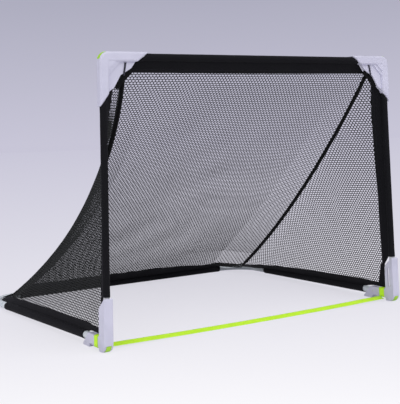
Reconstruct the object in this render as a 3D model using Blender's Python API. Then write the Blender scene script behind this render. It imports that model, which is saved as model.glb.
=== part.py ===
"""Portable soccer goal: a steel front arch that folds down over a floor hoop, with corner brackets and net.

Metres, +Z up, +Y towards the back of the goal. The origin is on the floor, under the middle of the goal.
"""

import math

import bmesh
import bpy
from mathutils import Matrix, Vector

# Overall size
GOAL_WIDTH = 1.20
GOAL_HEIGHT = 0.90
GOAL_DEPTH = 1.095
POST_LEAN = 0.032
HOOP_SPLAY = 0.033

# Tubes
POST_RADIUS = 0.0095
POST_WALL = 0.0012
HOOP_RADIUS = 0.0125
HOOP_WALL = 0.0013
HOOP_BEND_RADIUS = 0.12
HOOP_SOCKET_HEIGHT = 0.028
REAR_TUBE_LENGTH = 0.80
SPIGOT_LENGTH = 0.11
TUBE_SIDES = 16

# Corner brackets
RIM = 0.030
ARM_LENGTH = 0.165
ARM_SLANT = 0.040
CORNER_RADIUS = 0.028
WEB_INSET = 0.009
FACET_LEG = 0.070
STEP_LEG = 0.098
FACET_INSET = 0.0015
STEP_INSET = 0.005
WEB_SHOULDER = (0.106, 0.049)
WEB_NOTCH = 0.070
SOCKET_STOP = 0.030
ELASTIC_SLOT = (0.010, 0.004)
ELASTIC_PLACE = 0.086

# Foot brackets, where the posts turn
CHEEK_DEPTH = 0.042
CHEEK_DROP = 0.026
FOOT_ARM_HEIGHT = 0.045
FOOT_ARCH_HEIGHT = 0.0115
FOOT_ARCH_START = 0.042
FOOT_ARCH_END = 0.118
FOOT_ARCH_ROUND = 0.006
CHANNEL_FLOOR = 0.048
CHANNEL_WIDTH = 0.0224
SNAP_MOUTH_WIDTH = 0.0217
FRONT_WALL = 0.0042
PIVOT_HEIGHT = 0.060
PIVOT_RADIUS = 0.003
PIVOT_CLEARANCE = 0.0001
PIVOT_SIDES = 24
PIVOT_SKIN = 0.0012
HEEL_CLEARANCE = 0.0002
PLUG_LENGTH = 0.030
TUBE_LIFT = 0.004
RELIEF_SLOT = (0.020, 0.027, 0.056, 0.129)

# Bumpers set into the outer corners
BUMPER_THICKNESS = 0.003
BUMPER_PROUD = 0.0009
BUMPER_WIDTH = 0.017
BUMPER_ARC = (math.radians(14), math.radians(76))

# Fabric and webbing
SLEEVE_THICKNESS = 0.0012
BORDER_THICKNESS = 0.0024
POST_BORDER = 0.036
CROSSBAR_BORDER = 0.040
SIDE_BORDER = 0.042
FOOT_BORDER = 0.016
REAR_BORDER = 0.042
CROSSBAR_BORDER_TILT = math.radians(29)
REAR_BORDER_TILT = math.radians(52)
REAR_BORDER_FLAP = 0.095
BARE_TUBE = 0.005
RIB_RADIUS = 0.005
NET_THICKNESS = 0.002
STRAND_WIDTH = 0.0045
BACK_NET_CELLS = (9, 12)
SIDE_NET_CELLS = (6, 12)
BACK_NET_BULGE = 0.045
WEBBING_WIDTH = 0.026
WEBBING_THICKNESS = 0.0014
WEBBING_PLACE = 0.0625
WEBBING_SAG = 0.006

# Fits
GAP = 0.0003
SEAM = 0.0006

# The seam where back net and side net meet, as four guide points beside the right post of a goal
# of the guide's width, depth and height: x from the middle, depth behind the front face, height
RIB_GUIDE_SIZE = (1.20, 1.095, 0.90)
RIB_GUIDE = (
    (0.485, 0.024, 0.838),
    (0.432, 0.225, 0.507),
    (0.473, 0.590, 0.220),
    (0.560, 1.020, 0.010),
)
RIB_START = 0.035
RIB_END = 0.950

# Places worked out from the sizes above
FRONT = -GOAL_DEPTH / 2
POST_X = GOAL_WIDTH / 2 - RIM / 2
POST_Y = FRONT + RIM / 2
CROSSBAR_Z = GOAL_HEIGHT - RIM / 2
SLEEVE_RADIUS = POST_RADIUS + GAP + SLEEVE_THICKNESS
HOOP_SLEEVE_RADIUS = HOOP_RADIUS + GAP + SLEEVE_THICKNESS
REAR_Y = GOAL_DEPTH / 2 - HOOP_SLEEVE_RADIUS
REAR_Z = HOOP_SLEEVE_RADIUS
SOCKET_RADIUS = POST_RADIUS + GAP
HOOP_SOCKET_RADIUS = HOOP_RADIUS + GAP


def clear_scene():
    for old in list(bpy.data.objects):
        bpy.data.objects.remove(old, do_unlink=True)


def material(name, colour, roughness, metallic=0.0):
    made = bpy.data.materials.new(name)
    made.use_nodes = True
    shader = made.node_tree.nodes["Principled BSDF"]
    shader.inputs["Base Color"].default_value = (*colour, 1.0)
    shader.inputs["Roughness"].default_value = roughness
    shader.inputs["Metallic"].default_value = metallic
    made.diffuse_color = (*colour, 1.0)
    return made


def bracket_material(name):
    return material(name, (0.62, 0.62, 0.70), 0.42)


def steel_material(name):
    return material(name, (0.45, 0.49, 0.53), 0.35, 0.6)


def fabric_material(name):
    return material(name, (0.012, 0.012, 0.014), 0.85)


def net_material(name):
    return material(name, (0.02, 0.022, 0.024), 0.8)


def accent_material(name):
    return material(name, (0.42, 0.75, 0.04), 0.5)


def hardware_material(name):
    return material(name, (0.6, 0.6, 0.62), 0.3, 0.9)


def add_object(name, mesh, made):
    thing = bpy.data.objects.new(name, mesh)
    bpy.context.collection.objects.link(thing)
    if made is not None:
        mesh.materials.clear()
        mesh.materials.append(made)
    return thing


def from_bmesh(name, shape, made, smooth=False):
    bmesh.ops.recalc_face_normals(shape, faces=shape.faces)
    mesh = bpy.data.meshes.new(name)
    shape.to_mesh(mesh)
    shape.free()
    if smooth:
        mesh.shade_smooth()
        mesh.set_sharp_from_angle(angle=math.radians(40))
    return add_object(name, mesh, made)


def hide_tool(thing):
    thing.hide_render = True
    thing.display_type = "WIRE"
    return thing


def boolean(thing, tool, operation="DIFFERENCE"):
    """Cut, join or intersect thing with a hidden tool object."""
    step = thing.modifiers.new(f"{operation.lower()} {tool.name}", "BOOLEAN")
    step.operation = operation
    step.object = hide_tool(tool)


def soften(thing, width, segments=2):
    step = thing.modifiers.new("soft edges", "BEVEL")
    step.width = width
    step.segments = segments
    step.limit_method = "ANGLE"
    step.angle_limit = math.radians(35)


def cut_leaning(thing, side, tools):
    """Cut a side piece with tools that slant with it."""
    for tool in tools:
        boolean(thing, lean_in(tool, side))


def lean(height):
    """How far a post stands in from its foot at a height."""
    return POST_LEAN * height / GOAL_HEIGHT


def lean_in(thing, side):
    """Slant a straight-built side piece with its post, which leans in towards the crossbar."""
    for point in thing.data.vertices:
        point.co.x -= side * lean(point.co.z)
    return thing


def prism(name, outline, axis, low, high, made=None):
    """Extrude a closed outline. On axis Y it is drawn in X and Z, on axis X in Y and Z."""
    shape = bmesh.new()
    if axis == "Y":
        corners = [shape.verts.new((a, low, b)) for a, b in outline]
        move = Vector((0, high - low, 0))
    else:
        corners = [shape.verts.new((low, a, b)) for a, b in outline]
        move = Vector((high - low, 0, 0))
    face = shape.faces.new(corners)
    grown = bmesh.ops.extrude_face_region(shape, geom=[face])
    fresh = [part for part in grown["geom"] if isinstance(part, bmesh.types.BMVert)]
    bmesh.ops.translate(shape, verts=fresh, vec=move)
    return from_bmesh(name, shape, made)


def rod(name, start, end, radius, sides=TUBE_SIDES, made=None):
    """A plain round bar from start to end."""
    start, end = Vector(start), Vector(end)
    shape = bmesh.new()
    turn = (end - start).to_track_quat("Z", "Y").to_matrix().to_4x4()
    place = Matrix.Translation((start + end) / 2) @ turn
    bmesh.ops.create_cone(
        shape, cap_ends=True, segments=sides, radius1=radius, radius2=radius,
        depth=(end - start).length, matrix=place,
    )
    return from_bmesh(name, shape, made, smooth=True)


def swept(name, route, radius, made, wall=None, resolution=6):
    """A round tube along a route, hollow where a wall is given."""
    curve = bpy.data.curves.new(name + " route", "CURVE")
    curve.dimensions = "3D"
    curve.bevel_depth = radius
    curve.bevel_resolution = resolution
    curve.use_fill_caps = wall is None
    line = curve.splines.new("POLY")
    line.points.add(len(route) - 1)
    for point, place in zip(line.points, route):
        point.co = (*place, 1.0)
    guide = bpy.data.objects.new(name + " guide", curve)
    bpy.context.collection.objects.link(guide)
    mesh = bpy.data.meshes.new_from_object(guide.evaluated_get(bpy.context.evaluated_depsgraph_get()))
    bpy.data.objects.remove(guide)
    mesh.name = name
    shape = bmesh.new()
    shape.from_mesh(mesh)
    bmesh.ops.remove_doubles(shape, verts=shape.verts, dist=1e-6)
    tube = from_bmesh(name, shape, made, smooth=True)
    bpy.data.meshes.remove(mesh)
    if wall is not None:
        step = tube.modifiers.new("wall", "SOLIDIFY")
        step.thickness = wall
        step.offset = -1
        step.use_even_offset = True
    return tube


def sheet(name, rows, thickness, made, split=False):
    """A cloth strip or panel from rows of points, given its thickness; a twisted one is split into triangles."""
    shape = bmesh.new()
    grid = [[shape.verts.new(place) for place in row] for row in rows]
    for low, high in zip(grid, grid[1:]):
        for i in range(len(low) - 1):
            if split:
                shape.faces.new((low[i], low[i + 1], high[i + 1]))
                shape.faces.new((low[i], high[i + 1], high[i]))
            else:
                shape.faces.new((low[i], low[i + 1], high[i + 1], high[i]))
    panel = from_bmesh(name, shape, made)
    step = panel.modifiers.new("thickness", "SOLIDIFY")
    step.thickness = thickness
    step.offset = 0
    return panel


def open_mesh(name, rows, thickness, made):
    """A net panel: each cell of the sheet gets its own gap, and the rest stays as strands."""
    shape = bmesh.new()
    grid = [[shape.verts.new(place) for place in row] for row in rows]
    cells = []
    for low, high in zip(grid, grid[1:]):
        for i in range(len(low) - 1):
            cells.append(shape.faces.new((low[i], low[i + 1], high[i + 1], high[i])))
    bmesh.ops.recalc_face_normals(shape, faces=shape.faces)
    bmesh.ops.inset_individual(shape, faces=cells, thickness=STRAND_WIDTH / 2, use_even_offset=True)
    bmesh.ops.delete(shape, geom=cells, context="FACES")
    panel = from_bmesh(name, shape, made)
    step = panel.modifiers.new("thickness", "SOLIDIFY")
    step.thickness = thickness
    step.offset = 0
    return panel


def bezier(guide, t):
    a, b, c, d = (Vector(point) for point in guide)
    u = 1 - t
    return a * u ** 3 + b * 3 * t * u * u + c * 3 * t * t * u + d * t ** 3


def rib_point(t, side):
    """The seam between back net and side net, from top (0) to bottom (1)."""
    wide = (GOAL_WIDTH - RIB_GUIDE_SIZE[0]) / 2
    deep = GOAL_DEPTH / RIB_GUIDE_SIZE[1]
    tall = GOAL_HEIGHT / RIB_GUIDE_SIZE[2]
    place = bezier(RIB_GUIDE, t)
    return Vector((side * (place.x + wide), FRONT + place.y * deep, place.z * tall))


def rib_tangent(t, side):
    return (rib_point(t + 0.01, side) - rib_point(t - 0.01, side)).normalized()


def rib_where(value, axis, side):
    """The rib's point at a given depth (axis 1) or height (axis 2), found by halving."""
    low, high = RIB_START, 1.0
    rising = 1 if axis == 1 else -1
    for _ in range(40):
        middle = (low + high) / 2
        if (rib_point(middle, side)[axis] - value) * rising < 0:
            low = middle
        else:
            high = middle
    return rib_point(low, side)


def along(points, count):
    """Count points at even steps along a polyline."""
    lengths = [0.0]
    for a, b in zip(points, points[1:]):
        lengths.append(lengths[-1] + (b - a).length)
    made = []
    for k in range(count):
        goal = lengths[-1] * k / (count - 1)
        i = max(j for j in range(len(lengths) - 1) if lengths[j] <= goal + 1e-12)
        share = (goal - lengths[i]) / max(lengths[i + 1] - lengths[i], 1e-9)
        made.append(points[i].lerp(points[i + 1], min(share, 1.0)))
    return made


def patch(bottom, top, left, right):
    """Rows of points that fill four edges: bottom and top run one way, left and right run up."""
    rows = []
    across, up = len(bottom) - 1, len(left) - 1
    for j in range(up + 1):
        v = j / up
        row = []
        for i in range(across + 1):
            u = i / across
            edge = bottom[i] * (1 - v) + top[i] * v + left[j] * (1 - u) + right[j] * u
            corner = (bottom[0] * (1 - u) + bottom[-1] * u) * (1 - v) + (top[0] * (1 - u) + top[-1] * u) * v
            row.append(edge - corner)
        rows.append(row)
    return rows


def hoop_point(y, side):
    """The middle of a floor tube's straight run at depth y, splayed out and sloping down to the floor."""
    start = FRONT + ARM_LENGTH
    share = max(0.0, (y - start) / (REAR_Y - start))
    x = POST_X - lean(HOOP_SOCKET_HEIGHT) + HOOP_SPLAY * share
    return Vector((side * x, y, HOOP_SOCKET_HEIGHT + (REAR_Z - HOOP_SOCKET_HEIGHT) * share))


def corner_arc(radius, low, high, steps, centre):
    """Points round an outer corner whose middle is centre, from the side (0) to the end (90 degrees)."""
    made = []
    for k in range(steps + 1):
        angle = low + (high - low) * k / steps
        made.append((centre[0] - radius * math.cos(angle), centre[1] - radius * math.sin(angle)))
    return made


def top_outline(points, side):
    """Turn distances from the goal's outer top corner into X and Z."""
    return [(side * (GOAL_WIDTH / 2 - u), GOAL_HEIGHT - v) for u, v in points]


def foot_outline(points):
    """Turn distances from the goal's lower front corner into Y and Z."""
    return [(FRONT + u, v) for u, v in points]


def bumper_ring(inner, outer, margin):
    """A bent strip round the corner, in distances from the outer corner."""
    centre = (CORNER_RADIUS, CORNER_RADIUS)
    low, high = BUMPER_ARC[0] + margin, BUMPER_ARC[1] - margin
    return corner_arc(outer, low, high, 6, centre) + corner_arc(inner, low, high, 6, centre)[::-1]


def bumper_pair():
    """Outlines of the recess and of the bumper that sits in it."""
    recess = bumper_ring(CORNER_RADIUS - BUMPER_THICKNESS, CORNER_RADIUS + 0.006, 0)
    pad = bumper_ring(
        CORNER_RADIUS - BUMPER_THICKNESS + GAP, CORNER_RADIUS + BUMPER_PROUD, GAP * 1.5 / CORNER_RADIUS
    )
    return recess, pad


def make_top_corner(name, side):
    """Bracket that joins a post to the crossbar, lying in the plane of the goal mouth."""
    arc = corner_arc(CORNER_RADIUS, 0, math.pi / 2, 6, (CORNER_RADIUS, CORNER_RADIUS))
    short = ARM_LENGTH - ARM_SLANT
    rim = arc + [(ARM_LENGTH, 0), (short, RIM), (RIM, RIM), (RIM, short), (0, ARM_LENGTH)]
    bracket = prism(name, top_outline(rim, side), "Y", FRONT, FRONT + RIM, bracket_material(name))
    soften(bracket, 0.006, 3)
    notch = WEB_NOTCH
    far, near = WEB_SHOULDER
    inner = RIM - 0.004
    layers = {
        "facet": (
            [(0.010, 0.010), (FACET_LEG, 0.010), (FACET_LEG, 0.012), (0.012, FACET_LEG), (0.010, FACET_LEG)],
            FACET_INSET,
        ),
        "step": (
            [(0.012, 0.012), (STEP_LEG - inner, 0.012), (STEP_LEG - inner, inner),
             (inner, STEP_LEG - inner), (0.012, STEP_LEG - inner)],
            STEP_INSET,
        ),
        "web": (
            [(0.014, 0.014), (short - 0.002, 0.014), (short - 0.002, inner), (far, near), (notch, notch),
             (near, far), (inner, short - 0.002), (0.014, short - 0.002)],
            WEB_INSET,
        ),
    }
    lean_in(bracket, side)
    for layer, (outline, inset) in layers.items():
        plate = prism(f"{name} {layer}", top_outline(outline, side), "Y", FRONT + inset, FRONT + RIM - inset)
        boolean(bracket, lean_in(plate, side), "UNION")
    wide, high = ELASTIC_SLOT
    slot = [
        (ELASTIC_PLACE - wide / 2, RIM + 0.001), (ELASTIC_PLACE + wide / 2, RIM + 0.001),
        (ELASTIC_PLACE + wide / 2, RIM + 0.001 + high), (ELASTIC_PLACE - wide / 2, RIM + 0.001 + high),
    ]
    recess, _ = bumper_pair()
    half = BUMPER_WIDTH / 2
    cut_leaning(bracket, side, [
        rod(
            f"{name} post bore", (side * POST_X, POST_Y, GOAL_HEIGHT - ARM_LENGTH - 0.01),
            (side * POST_X, POST_Y, GOAL_HEIGHT - SOCKET_STOP), SOCKET_RADIUS,
        ),
        rod(
            f"{name} crossbar bore", (side * (GOAL_WIDTH / 2 - ARM_LENGTH - 0.01), POST_Y, CROSSBAR_Z),
            (side * (GOAL_WIDTH / 2 - SOCKET_STOP), POST_Y, CROSSBAR_Z), SOCKET_RADIUS,
        ),
        prism(f"{name} elastic slot", top_outline(slot, side), "Y", FRONT, FRONT + RIM),
        prism(f"{name} recess", top_outline(recess, side), "Y", POST_Y - half, POST_Y + half),
    ])
    return bracket


def make_top_bumper(name, side):
    _, pad = bumper_pair()
    half = BUMPER_WIDTH / 2 - GAP
    pad = prism(name, top_outline(pad, side), "Y", POST_Y - half, POST_Y + half, accent_material(name))
    return lean_in(pad, side)


def foot_profile():
    """Side view of a foot bracket, in distances from the lower front corner of the goal."""
    arc = corner_arc(CORNER_RADIUS, 0, math.pi / 2, 6, (CORNER_RADIUS, CORNER_RADIUS))
    short = ARM_LENGTH - ARM_SLANT
    arch = [(FOOT_ARCH_START, 0)]
    for place, way in ((FOOT_ARCH_START, 1), (FOOT_ARCH_END, -1)):
        bend = []
        for k in range(5):
            angle = math.pi / 2 * k / 4
            bend.append((
                place + way * (0.001 + FOOT_ARCH_ROUND * (1 - math.cos(angle))),
                FOOT_ARCH_HEIGHT - FOOT_ARCH_ROUND * (1 - math.sin(angle)),
            ))
        arch += bend[::way]
    arch.append((FOOT_ARCH_END, 0))
    return (
        arc + arch
        + [(ARM_LENGTH - 0.004, 0), (ARM_LENGTH, 0.004), (short, FOOT_ARM_HEIGHT)]
        + [(CHEEK_DEPTH + 0.006, FOOT_ARM_HEIGHT), (CHEEK_DEPTH + 0.001, FOOT_ARM_HEIGHT + 0.005)]
        + [(CHEEK_DEPTH, ARM_LENGTH - CHEEK_DROP - 0.012), (CHEEK_DEPTH - 0.008, ARM_LENGTH - CHEEK_DROP)]
        + [(0.004, ARM_LENGTH), (0, ARM_LENGTH - 0.002)]
    )


def make_foot_corner(name, side):
    """Bracket in the side plane: it holds the floor tube, and the post turns between its cheeks."""
    outer, inner = side * GOAL_WIDTH / 2, side * (GOAL_WIDTH / 2 - RIM)
    low, high = min(outer, inner), max(outer, inner)
    centre = side * POST_X
    bracket = prism(name, foot_outline(foot_profile()), "X", low, high, bracket_material(name))
    soften(bracket, 0.0022, 2)
    lean_in(bracket, side)
    rest = CHEEK_DEPTH * 0.62
    top = ARM_LENGTH + 0.02
    channel = [(FRONT_WALL, CHANNEL_FLOOR), (rest, CHANNEL_FLOOR), (rest, top), (FRONT_WALL, top)]
    mouth = [
        (rest - 0.001, CHANNEL_FLOOR), (CHEEK_DEPTH + 0.03, CHANNEL_FLOOR), (CHEEK_DEPTH + 0.03, top),
        (rest - 0.001, top),
    ]
    front, back, low_end, high_end = RELIEF_SLOT
    slot = [(front, low_end), (back, low_end), (back, high_end), (front, high_end - 0.004)]
    slot_low, slot_high = sorted((inner - side * 0.01, side * (POST_X - SNAP_MOUTH_WIDTH / 2 + 0.002)))
    recess, _ = bumper_pair()
    half_channel, half_mouth, half_pad = CHANNEL_WIDTH / 2, SNAP_MOUTH_WIDTH / 2, BUMPER_WIDTH / 2
    cut_leaning(bracket, side, [
        prism(f"{name} channel", foot_outline(channel), "X", centre - half_channel, centre + half_channel),
        prism(f"{name} mouth", foot_outline(mouth), "X", centre - half_mouth, centre + half_mouth),
        prism(f"{name} relief slot", foot_outline(slot), "X", slot_low, slot_high),
        prism(f"{name} recess", foot_outline(recess), "X", centre - half_pad, centre + half_pad),
        rod(
            f"{name} pivot bore", (side * (GOAL_WIDTH / 2 - RIM - 0.002), POST_Y, PIVOT_HEIGHT),
            (side * (GOAL_WIDTH / 2 - PIVOT_SKIN), POST_Y, PIVOT_HEIGHT), PIVOT_RADIUS + PIVOT_CLEARANCE,
            PIVOT_SIDES,
        ),
    ])
    hoop_x = side * (POST_X - lean(HOOP_SOCKET_HEIGHT))
    boolean(bracket, rod(
        f"{name} hoop bore", (hoop_x, FRONT + CHEEK_DEPTH + 0.004, HOOP_SOCKET_HEIGHT),
        (hoop_x, FRONT + ARM_LENGTH + 0.02, HOOP_SOCKET_HEIGHT), HOOP_SOCKET_RADIUS,
    ))
    return bracket


def make_foot_bumper(name, side):
    _, pad = bumper_pair()
    half = BUMPER_WIDTH / 2 - GAP
    centre = side * POST_X
    return lean_in(prism(name, foot_outline(pad), "X", centre - half, centre + half, accent_material(name)), side)


def make_pivot_pin(name, side):
    """Steel pin pressed into the foot bracket from the inner side."""
    pin = rod(
        name, (side * (GOAL_WIDTH / 2 - RIM + 0.0008), POST_Y, PIVOT_HEIGHT),
        (side * (GOAL_WIDTH / 2 - PIVOT_SKIN - GAP), POST_Y, PIVOT_HEIGHT), PIVOT_RADIUS, PIVOT_SIDES,
        hardware_material(name),
    )
    return lean_in(pin, side)


def make_foot_plug(name, side):
    """Plug in the post's lower end, with a heel rounded about the pivot so that it turns in the channel."""
    centre = side * POST_X
    shoulder = PIVOT_HEIGHT + TUBE_LIFT
    heel = PIVOT_HEIGHT - POST_RADIUS
    profile = [
        (0, heel), (POST_RADIUS - HEEL_CLEARANCE, heel), (POST_RADIUS - HEEL_CLEARANCE, shoulder - GAP),
        (POST_RADIUS - POST_WALL - GAP, shoulder - GAP), (POST_RADIUS - POST_WALL - GAP, shoulder + PLUG_LENGTH),
        (0, shoulder + PLUG_LENGTH),
    ]
    shape = bmesh.new()
    line = [shape.verts.new((centre + r, POST_Y, z)) for r, z in profile]
    edges = [shape.edges.new(pair) for pair in zip(line, line[1:])]
    bmesh.ops.spin(
        shape, geom=line + edges, cent=(centre, POST_Y, 0), axis=(0, 0, 1), angle=math.tau,
        steps=TUBE_SIDES, use_merge=True,
    )
    bmesh.ops.remove_doubles(shape, verts=shape.verts, dist=1e-6)
    plug = lean_in(from_bmesh(name, shape, material(name, (0.03, 0.03, 0.035), 0.5), smooth=True), side)
    radius = POST_RADIUS - HEEL_CLEARANCE
    keep = [(POST_Y + radius, shoulder + PLUG_LENGTH + 0.01), (POST_Y - radius, shoulder + PLUG_LENGTH + 0.01)]
    for k in range(13):
        angle = math.pi + math.pi * k / 12
        keep.append((POST_Y + radius * math.cos(angle), PIVOT_HEIGHT + radius * math.sin(angle)))
    boolean(plug, prism(f"{name} heel shape", keep, "X", centre - 0.02, centre + 0.02), "INTERSECT")
    bore = rod(
        f"{name} bore", (centre - 0.02, POST_Y, PIVOT_HEIGHT), (centre + 0.02, POST_Y, PIVOT_HEIGHT),
        PIVOT_RADIUS + PIVOT_CLEARANCE, PIVOT_SIDES,
    )
    boolean(plug, bore)
    return plug


def make_post(name, side):
    low, high = PIVOT_HEIGHT + TUBE_LIFT, GOAL_HEIGHT - SOCKET_STOP - GAP
    route = [(side * POST_X, POST_Y, low), (side * POST_X, POST_Y, high)]
    return lean_in(swept(name, route, POST_RADIUS, steel_material(name), POST_WALL), side)


def make_crossbar(name):
    reach = GOAL_WIDTH / 2 - lean(CROSSBAR_Z) - SOCKET_STOP - GAP * 3
    route = [(-reach, POST_Y, CROSSBAR_Z), (reach, POST_Y, CROSSBAR_Z)]
    return swept(name, route, POST_RADIUS, steel_material(name), POST_WALL)


def bend_middle(side):
    """The middle of the floor tube's rear bend, and the last point of its straight run."""
    entry = hoop_point(REAR_Y - HOOP_BEND_RADIUS, side)
    return Vector((entry.x - side * HOOP_BEND_RADIUS, entry.y, REAR_Z)), entry


def side_tube_route(side):
    """Out of the foot bracket, splayed along the floor, and round the rear bend."""
    middle, entry = bend_middle(side)
    route = [
        hoop_point(FRONT + CHEEK_DEPTH + 0.006, side),
        hoop_point(FRONT + ARM_LENGTH, side),
        entry,
    ]
    steps = 10
    for k in range(1, steps + 1):
        angle = math.pi / 2 * k / steps
        out = Vector((side * math.cos(angle), math.sin(angle), 0)) * HOOP_BEND_RADIUS
        lift = (entry.z - REAR_Z) * (1 - k / steps) ** 2
        route.append(middle + out + Vector((0, 0, lift)))
    route.append(Vector((side * (REAR_TUBE_LENGTH / 2 + GAP / 2), REAR_Y, REAR_Z)))
    return route


def make_side_tube(name, side):
    return swept(name, side_tube_route(side), HOOP_RADIUS, steel_material(name), HOOP_WALL)


def make_rear_tube(name):
    half = REAR_TUBE_LENGTH / 2 - GAP / 2
    return swept(name, [(-half, REAR_Y, REAR_Z), (half, REAR_Y, REAR_Z)], HOOP_RADIUS, steel_material(name), HOOP_WALL)


def make_spigot(name, side):
    """Inner joint that lines up the rear tube with a side tube."""
    middle = side * REAR_TUBE_LENGTH / 2
    half = SPIGOT_LENGTH / 2
    route = [(middle - half, REAR_Y, REAR_Z), (middle + half, REAR_Y, REAR_Z)]
    return swept(name, route, HOOP_RADIUS - HOOP_WALL - GAP, steel_material(name), HOOP_WALL)


def slanted_sleeve(name, start, end, radius, thickness, slants, up, made):
    """A cloth sleeve round a straight tube; each end leans by its slant along the direction up."""
    start, end, up = Vector(start), Vector(end), Vector(up)
    axis = (end - start).normalized()
    across = axis.cross(up)
    shape = bmesh.new()
    rings = []
    for size in (radius, radius - thickness):
        for place, slant in ((start, slants[0]), (end, slants[1])):
            ring = []
            for k in range(TUBE_SIDES):
                angle = math.tau * k / TUBE_SIDES
                out = up * math.cos(angle) * size + across * math.sin(angle) * size
                ring.append(shape.verts.new(place + out + axis * slant * out.dot(up)))
            rings.append(ring)
    loops = [rings[0], rings[1], rings[3], rings[2]]
    for k, ring in enumerate(loops):
        following = loops[(k + 1) % 4]
        for i in range(TUBE_SIDES):
            j = (i + 1) % TUBE_SIDES
            shape.faces.new((ring[i], ring[j], following[j], following[i]))
    return from_bmesh(name, shape, made, smooth=True)


def make_crossbar_sleeve(name):
    slope = ARM_SLANT / RIM
    reach = GOAL_WIDTH / 2 - lean(CROSSBAR_Z) - (ARM_LENGTH - slope * RIM / 2) - SEAM * 2
    start, end = (-reach, POST_Y, CROSSBAR_Z), (reach, POST_Y, CROSSBAR_Z)
    return slanted_sleeve(
        name, start, end, SLEEVE_RADIUS, SLEEVE_THICKNESS, (slope, -slope), (0, 0, 1), fabric_material(name)
    )


def make_post_sleeve(name, side):
    slope = ARM_SLANT / RIM
    top = GOAL_HEIGHT - (ARM_LENGTH - slope * RIM / 2) - SEAM * 2
    bottom = ARM_LENGTH + 0.003
    start, end = (side * POST_X, POST_Y, bottom), (side * POST_X, POST_Y, top)
    sleeve = slanted_sleeve(
        name, start, end, SLEEVE_RADIUS, SLEEVE_THICKNESS, (0, -slope), (side, 0, 0), fabric_material(name)
    )
    return lean_in(sleeve, side)


def rear_sleeve_half():
    """The rear sleeve covers the straight run and leaves a little bare tube before the bend."""
    middle, _ = bend_middle(1)
    return middle.x - BARE_TUBE


def make_rear_sleeve(name):
    half = rear_sleeve_half()
    start, end = (-half, REAR_Y, REAR_Z), (half, REAR_Y, REAR_Z)
    return slanted_sleeve(
        name, start, end, HOOP_SLEEVE_RADIUS, SLEEVE_THICKNESS, (0, 0), (0, 0, 1), fabric_material(name)
    )


def side_sleeve_depths(count):
    first = FRONT + ARM_LENGTH + 0.004
    last = REAR_Y - HOOP_BEND_RADIUS - BARE_TUBE
    return [first + (last - first) * k / (count - 1) for k in range(count)]


def make_side_sleeve(name, side):
    depths = side_sleeve_depths(2)
    return swept(
        name, [hoop_point(y, side) for y in depths], HOOP_SLEEVE_RADIUS, fabric_material(name), SLEEVE_THICKNESS
    )


def side_border_edge(y, side, reach):
    """A point of the side border: reach is how far it stands from the floor tube, towards the rib."""
    middle = hoop_point(y, side)
    towards = rib_where(y, 1, side) - middle
    towards.y = 0
    return middle + towards.normalized() * reach


def bend_inside(degrees, side):
    """A place just inside the rear bend, for the cloth's hem: 0 is beside the floor tube, 90 before the rear one."""
    middle, _ = bend_middle(side)
    reach = HOOP_BEND_RADIUS - HOOP_RADIUS - BORDER_THICKNESS * 2
    turn = math.radians(degrees)
    return middle + Vector((side * math.cos(turn), math.sin(turn), 0)) * reach + Vector((0, 0, 0.006))


def side_border_rows(side):
    """Lower and upper edge of the side border: over the bracket's arm, along the tube and round half the bend."""
    inner, outer = HOOP_SLEEVE_RADIUS + SEAM + 0.0004, HOOP_SLEEVE_RADIUS + SIDE_BORDER
    depths = side_sleeve_depths(7)
    low = [side_border_edge(y, side, inner) for y in depths]
    high = [side_border_edge(depths[0], side, outer - 0.018)] + [side_border_edge(y, side, outer) for y in depths[1:]]
    seat = rib_point(RIB_END, side)
    tip = seat + Vector((side * 0.013, 0.014, -0.005))
    last = high[-1]
    for k, degrees in enumerate((16, 31, 46)):
        low.append(bend_inside(degrees, side))
        high.append(last.lerp(tip, (k + 1) / 3))
    start, bottom = FRONT + CHEEK_DEPTH + 0.0065, FOOT_ARM_HEIGHT + GAP + WEBBING_THICKNESS + SEAM
    low = [
        Vector((low[0].x, start, bottom)), Vector((low[0].x, FRONT + ARM_LENGTH - ARM_SLANT, bottom)),
    ] + low
    high = [
        Vector((high[0].x, start, bottom + FOOT_BORDER)),
        Vector((high[0].x, FRONT + ARM_LENGTH - ARM_SLANT, bottom + FOOT_BORDER)),
    ] + high
    return low, high


def make_side_border(name, side):
    low, high = side_border_rows(side)
    return sheet(name, [low, high], BORDER_THICKNESS, fabric_material(name), split=True)


def rear_border_direction():
    return Vector((0, -math.cos(REAR_BORDER_TILT), math.sin(REAR_BORDER_TILT)))


def rear_flap_start():
    return rear_sleeve_half() - REAR_BORDER_FLAP / 2


def make_rear_border(name):
    """Border of the rear tube, with a flap at each end that runs to the rib's foot."""
    out = rear_border_direction()
    low_half, high_half = rear_sleeve_half() - 0.002, rear_flap_start()
    low, high = [], []
    for k in range(7):
        share = -1 + 2 * k / 6
        low.append(Vector((low_half * share, REAR_Y, REAR_Z)) + out * (HOOP_SLEEVE_RADIUS + SEAM))
        high.append(Vector((high_half * share, REAR_Y, REAR_Z)) + out * (HOOP_SLEEVE_RADIUS + REAR_BORDER))
    for side in (-1, 1):
        tip = rib_point(RIB_END, side) + Vector((-side * 0.004, 0.010, -0.001))
        flap = [high[0 if side < 0 else -1].lerp(tip, 0.5), tip]
        hem = [bend_inside(71, side), bend_inside(53, side)]
        low = hem[::-1] + low if side < 0 else low + hem
        high = flap[::-1] + high if side < 0 else high + flap
    return sheet(name, [low, high], BORDER_THICKNESS, fabric_material(name))


def crossbar_border_direction():
    return Vector((0, math.sin(CROSSBAR_BORDER_TILT), -math.cos(CROSSBAR_BORDER_TILT)))


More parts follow.
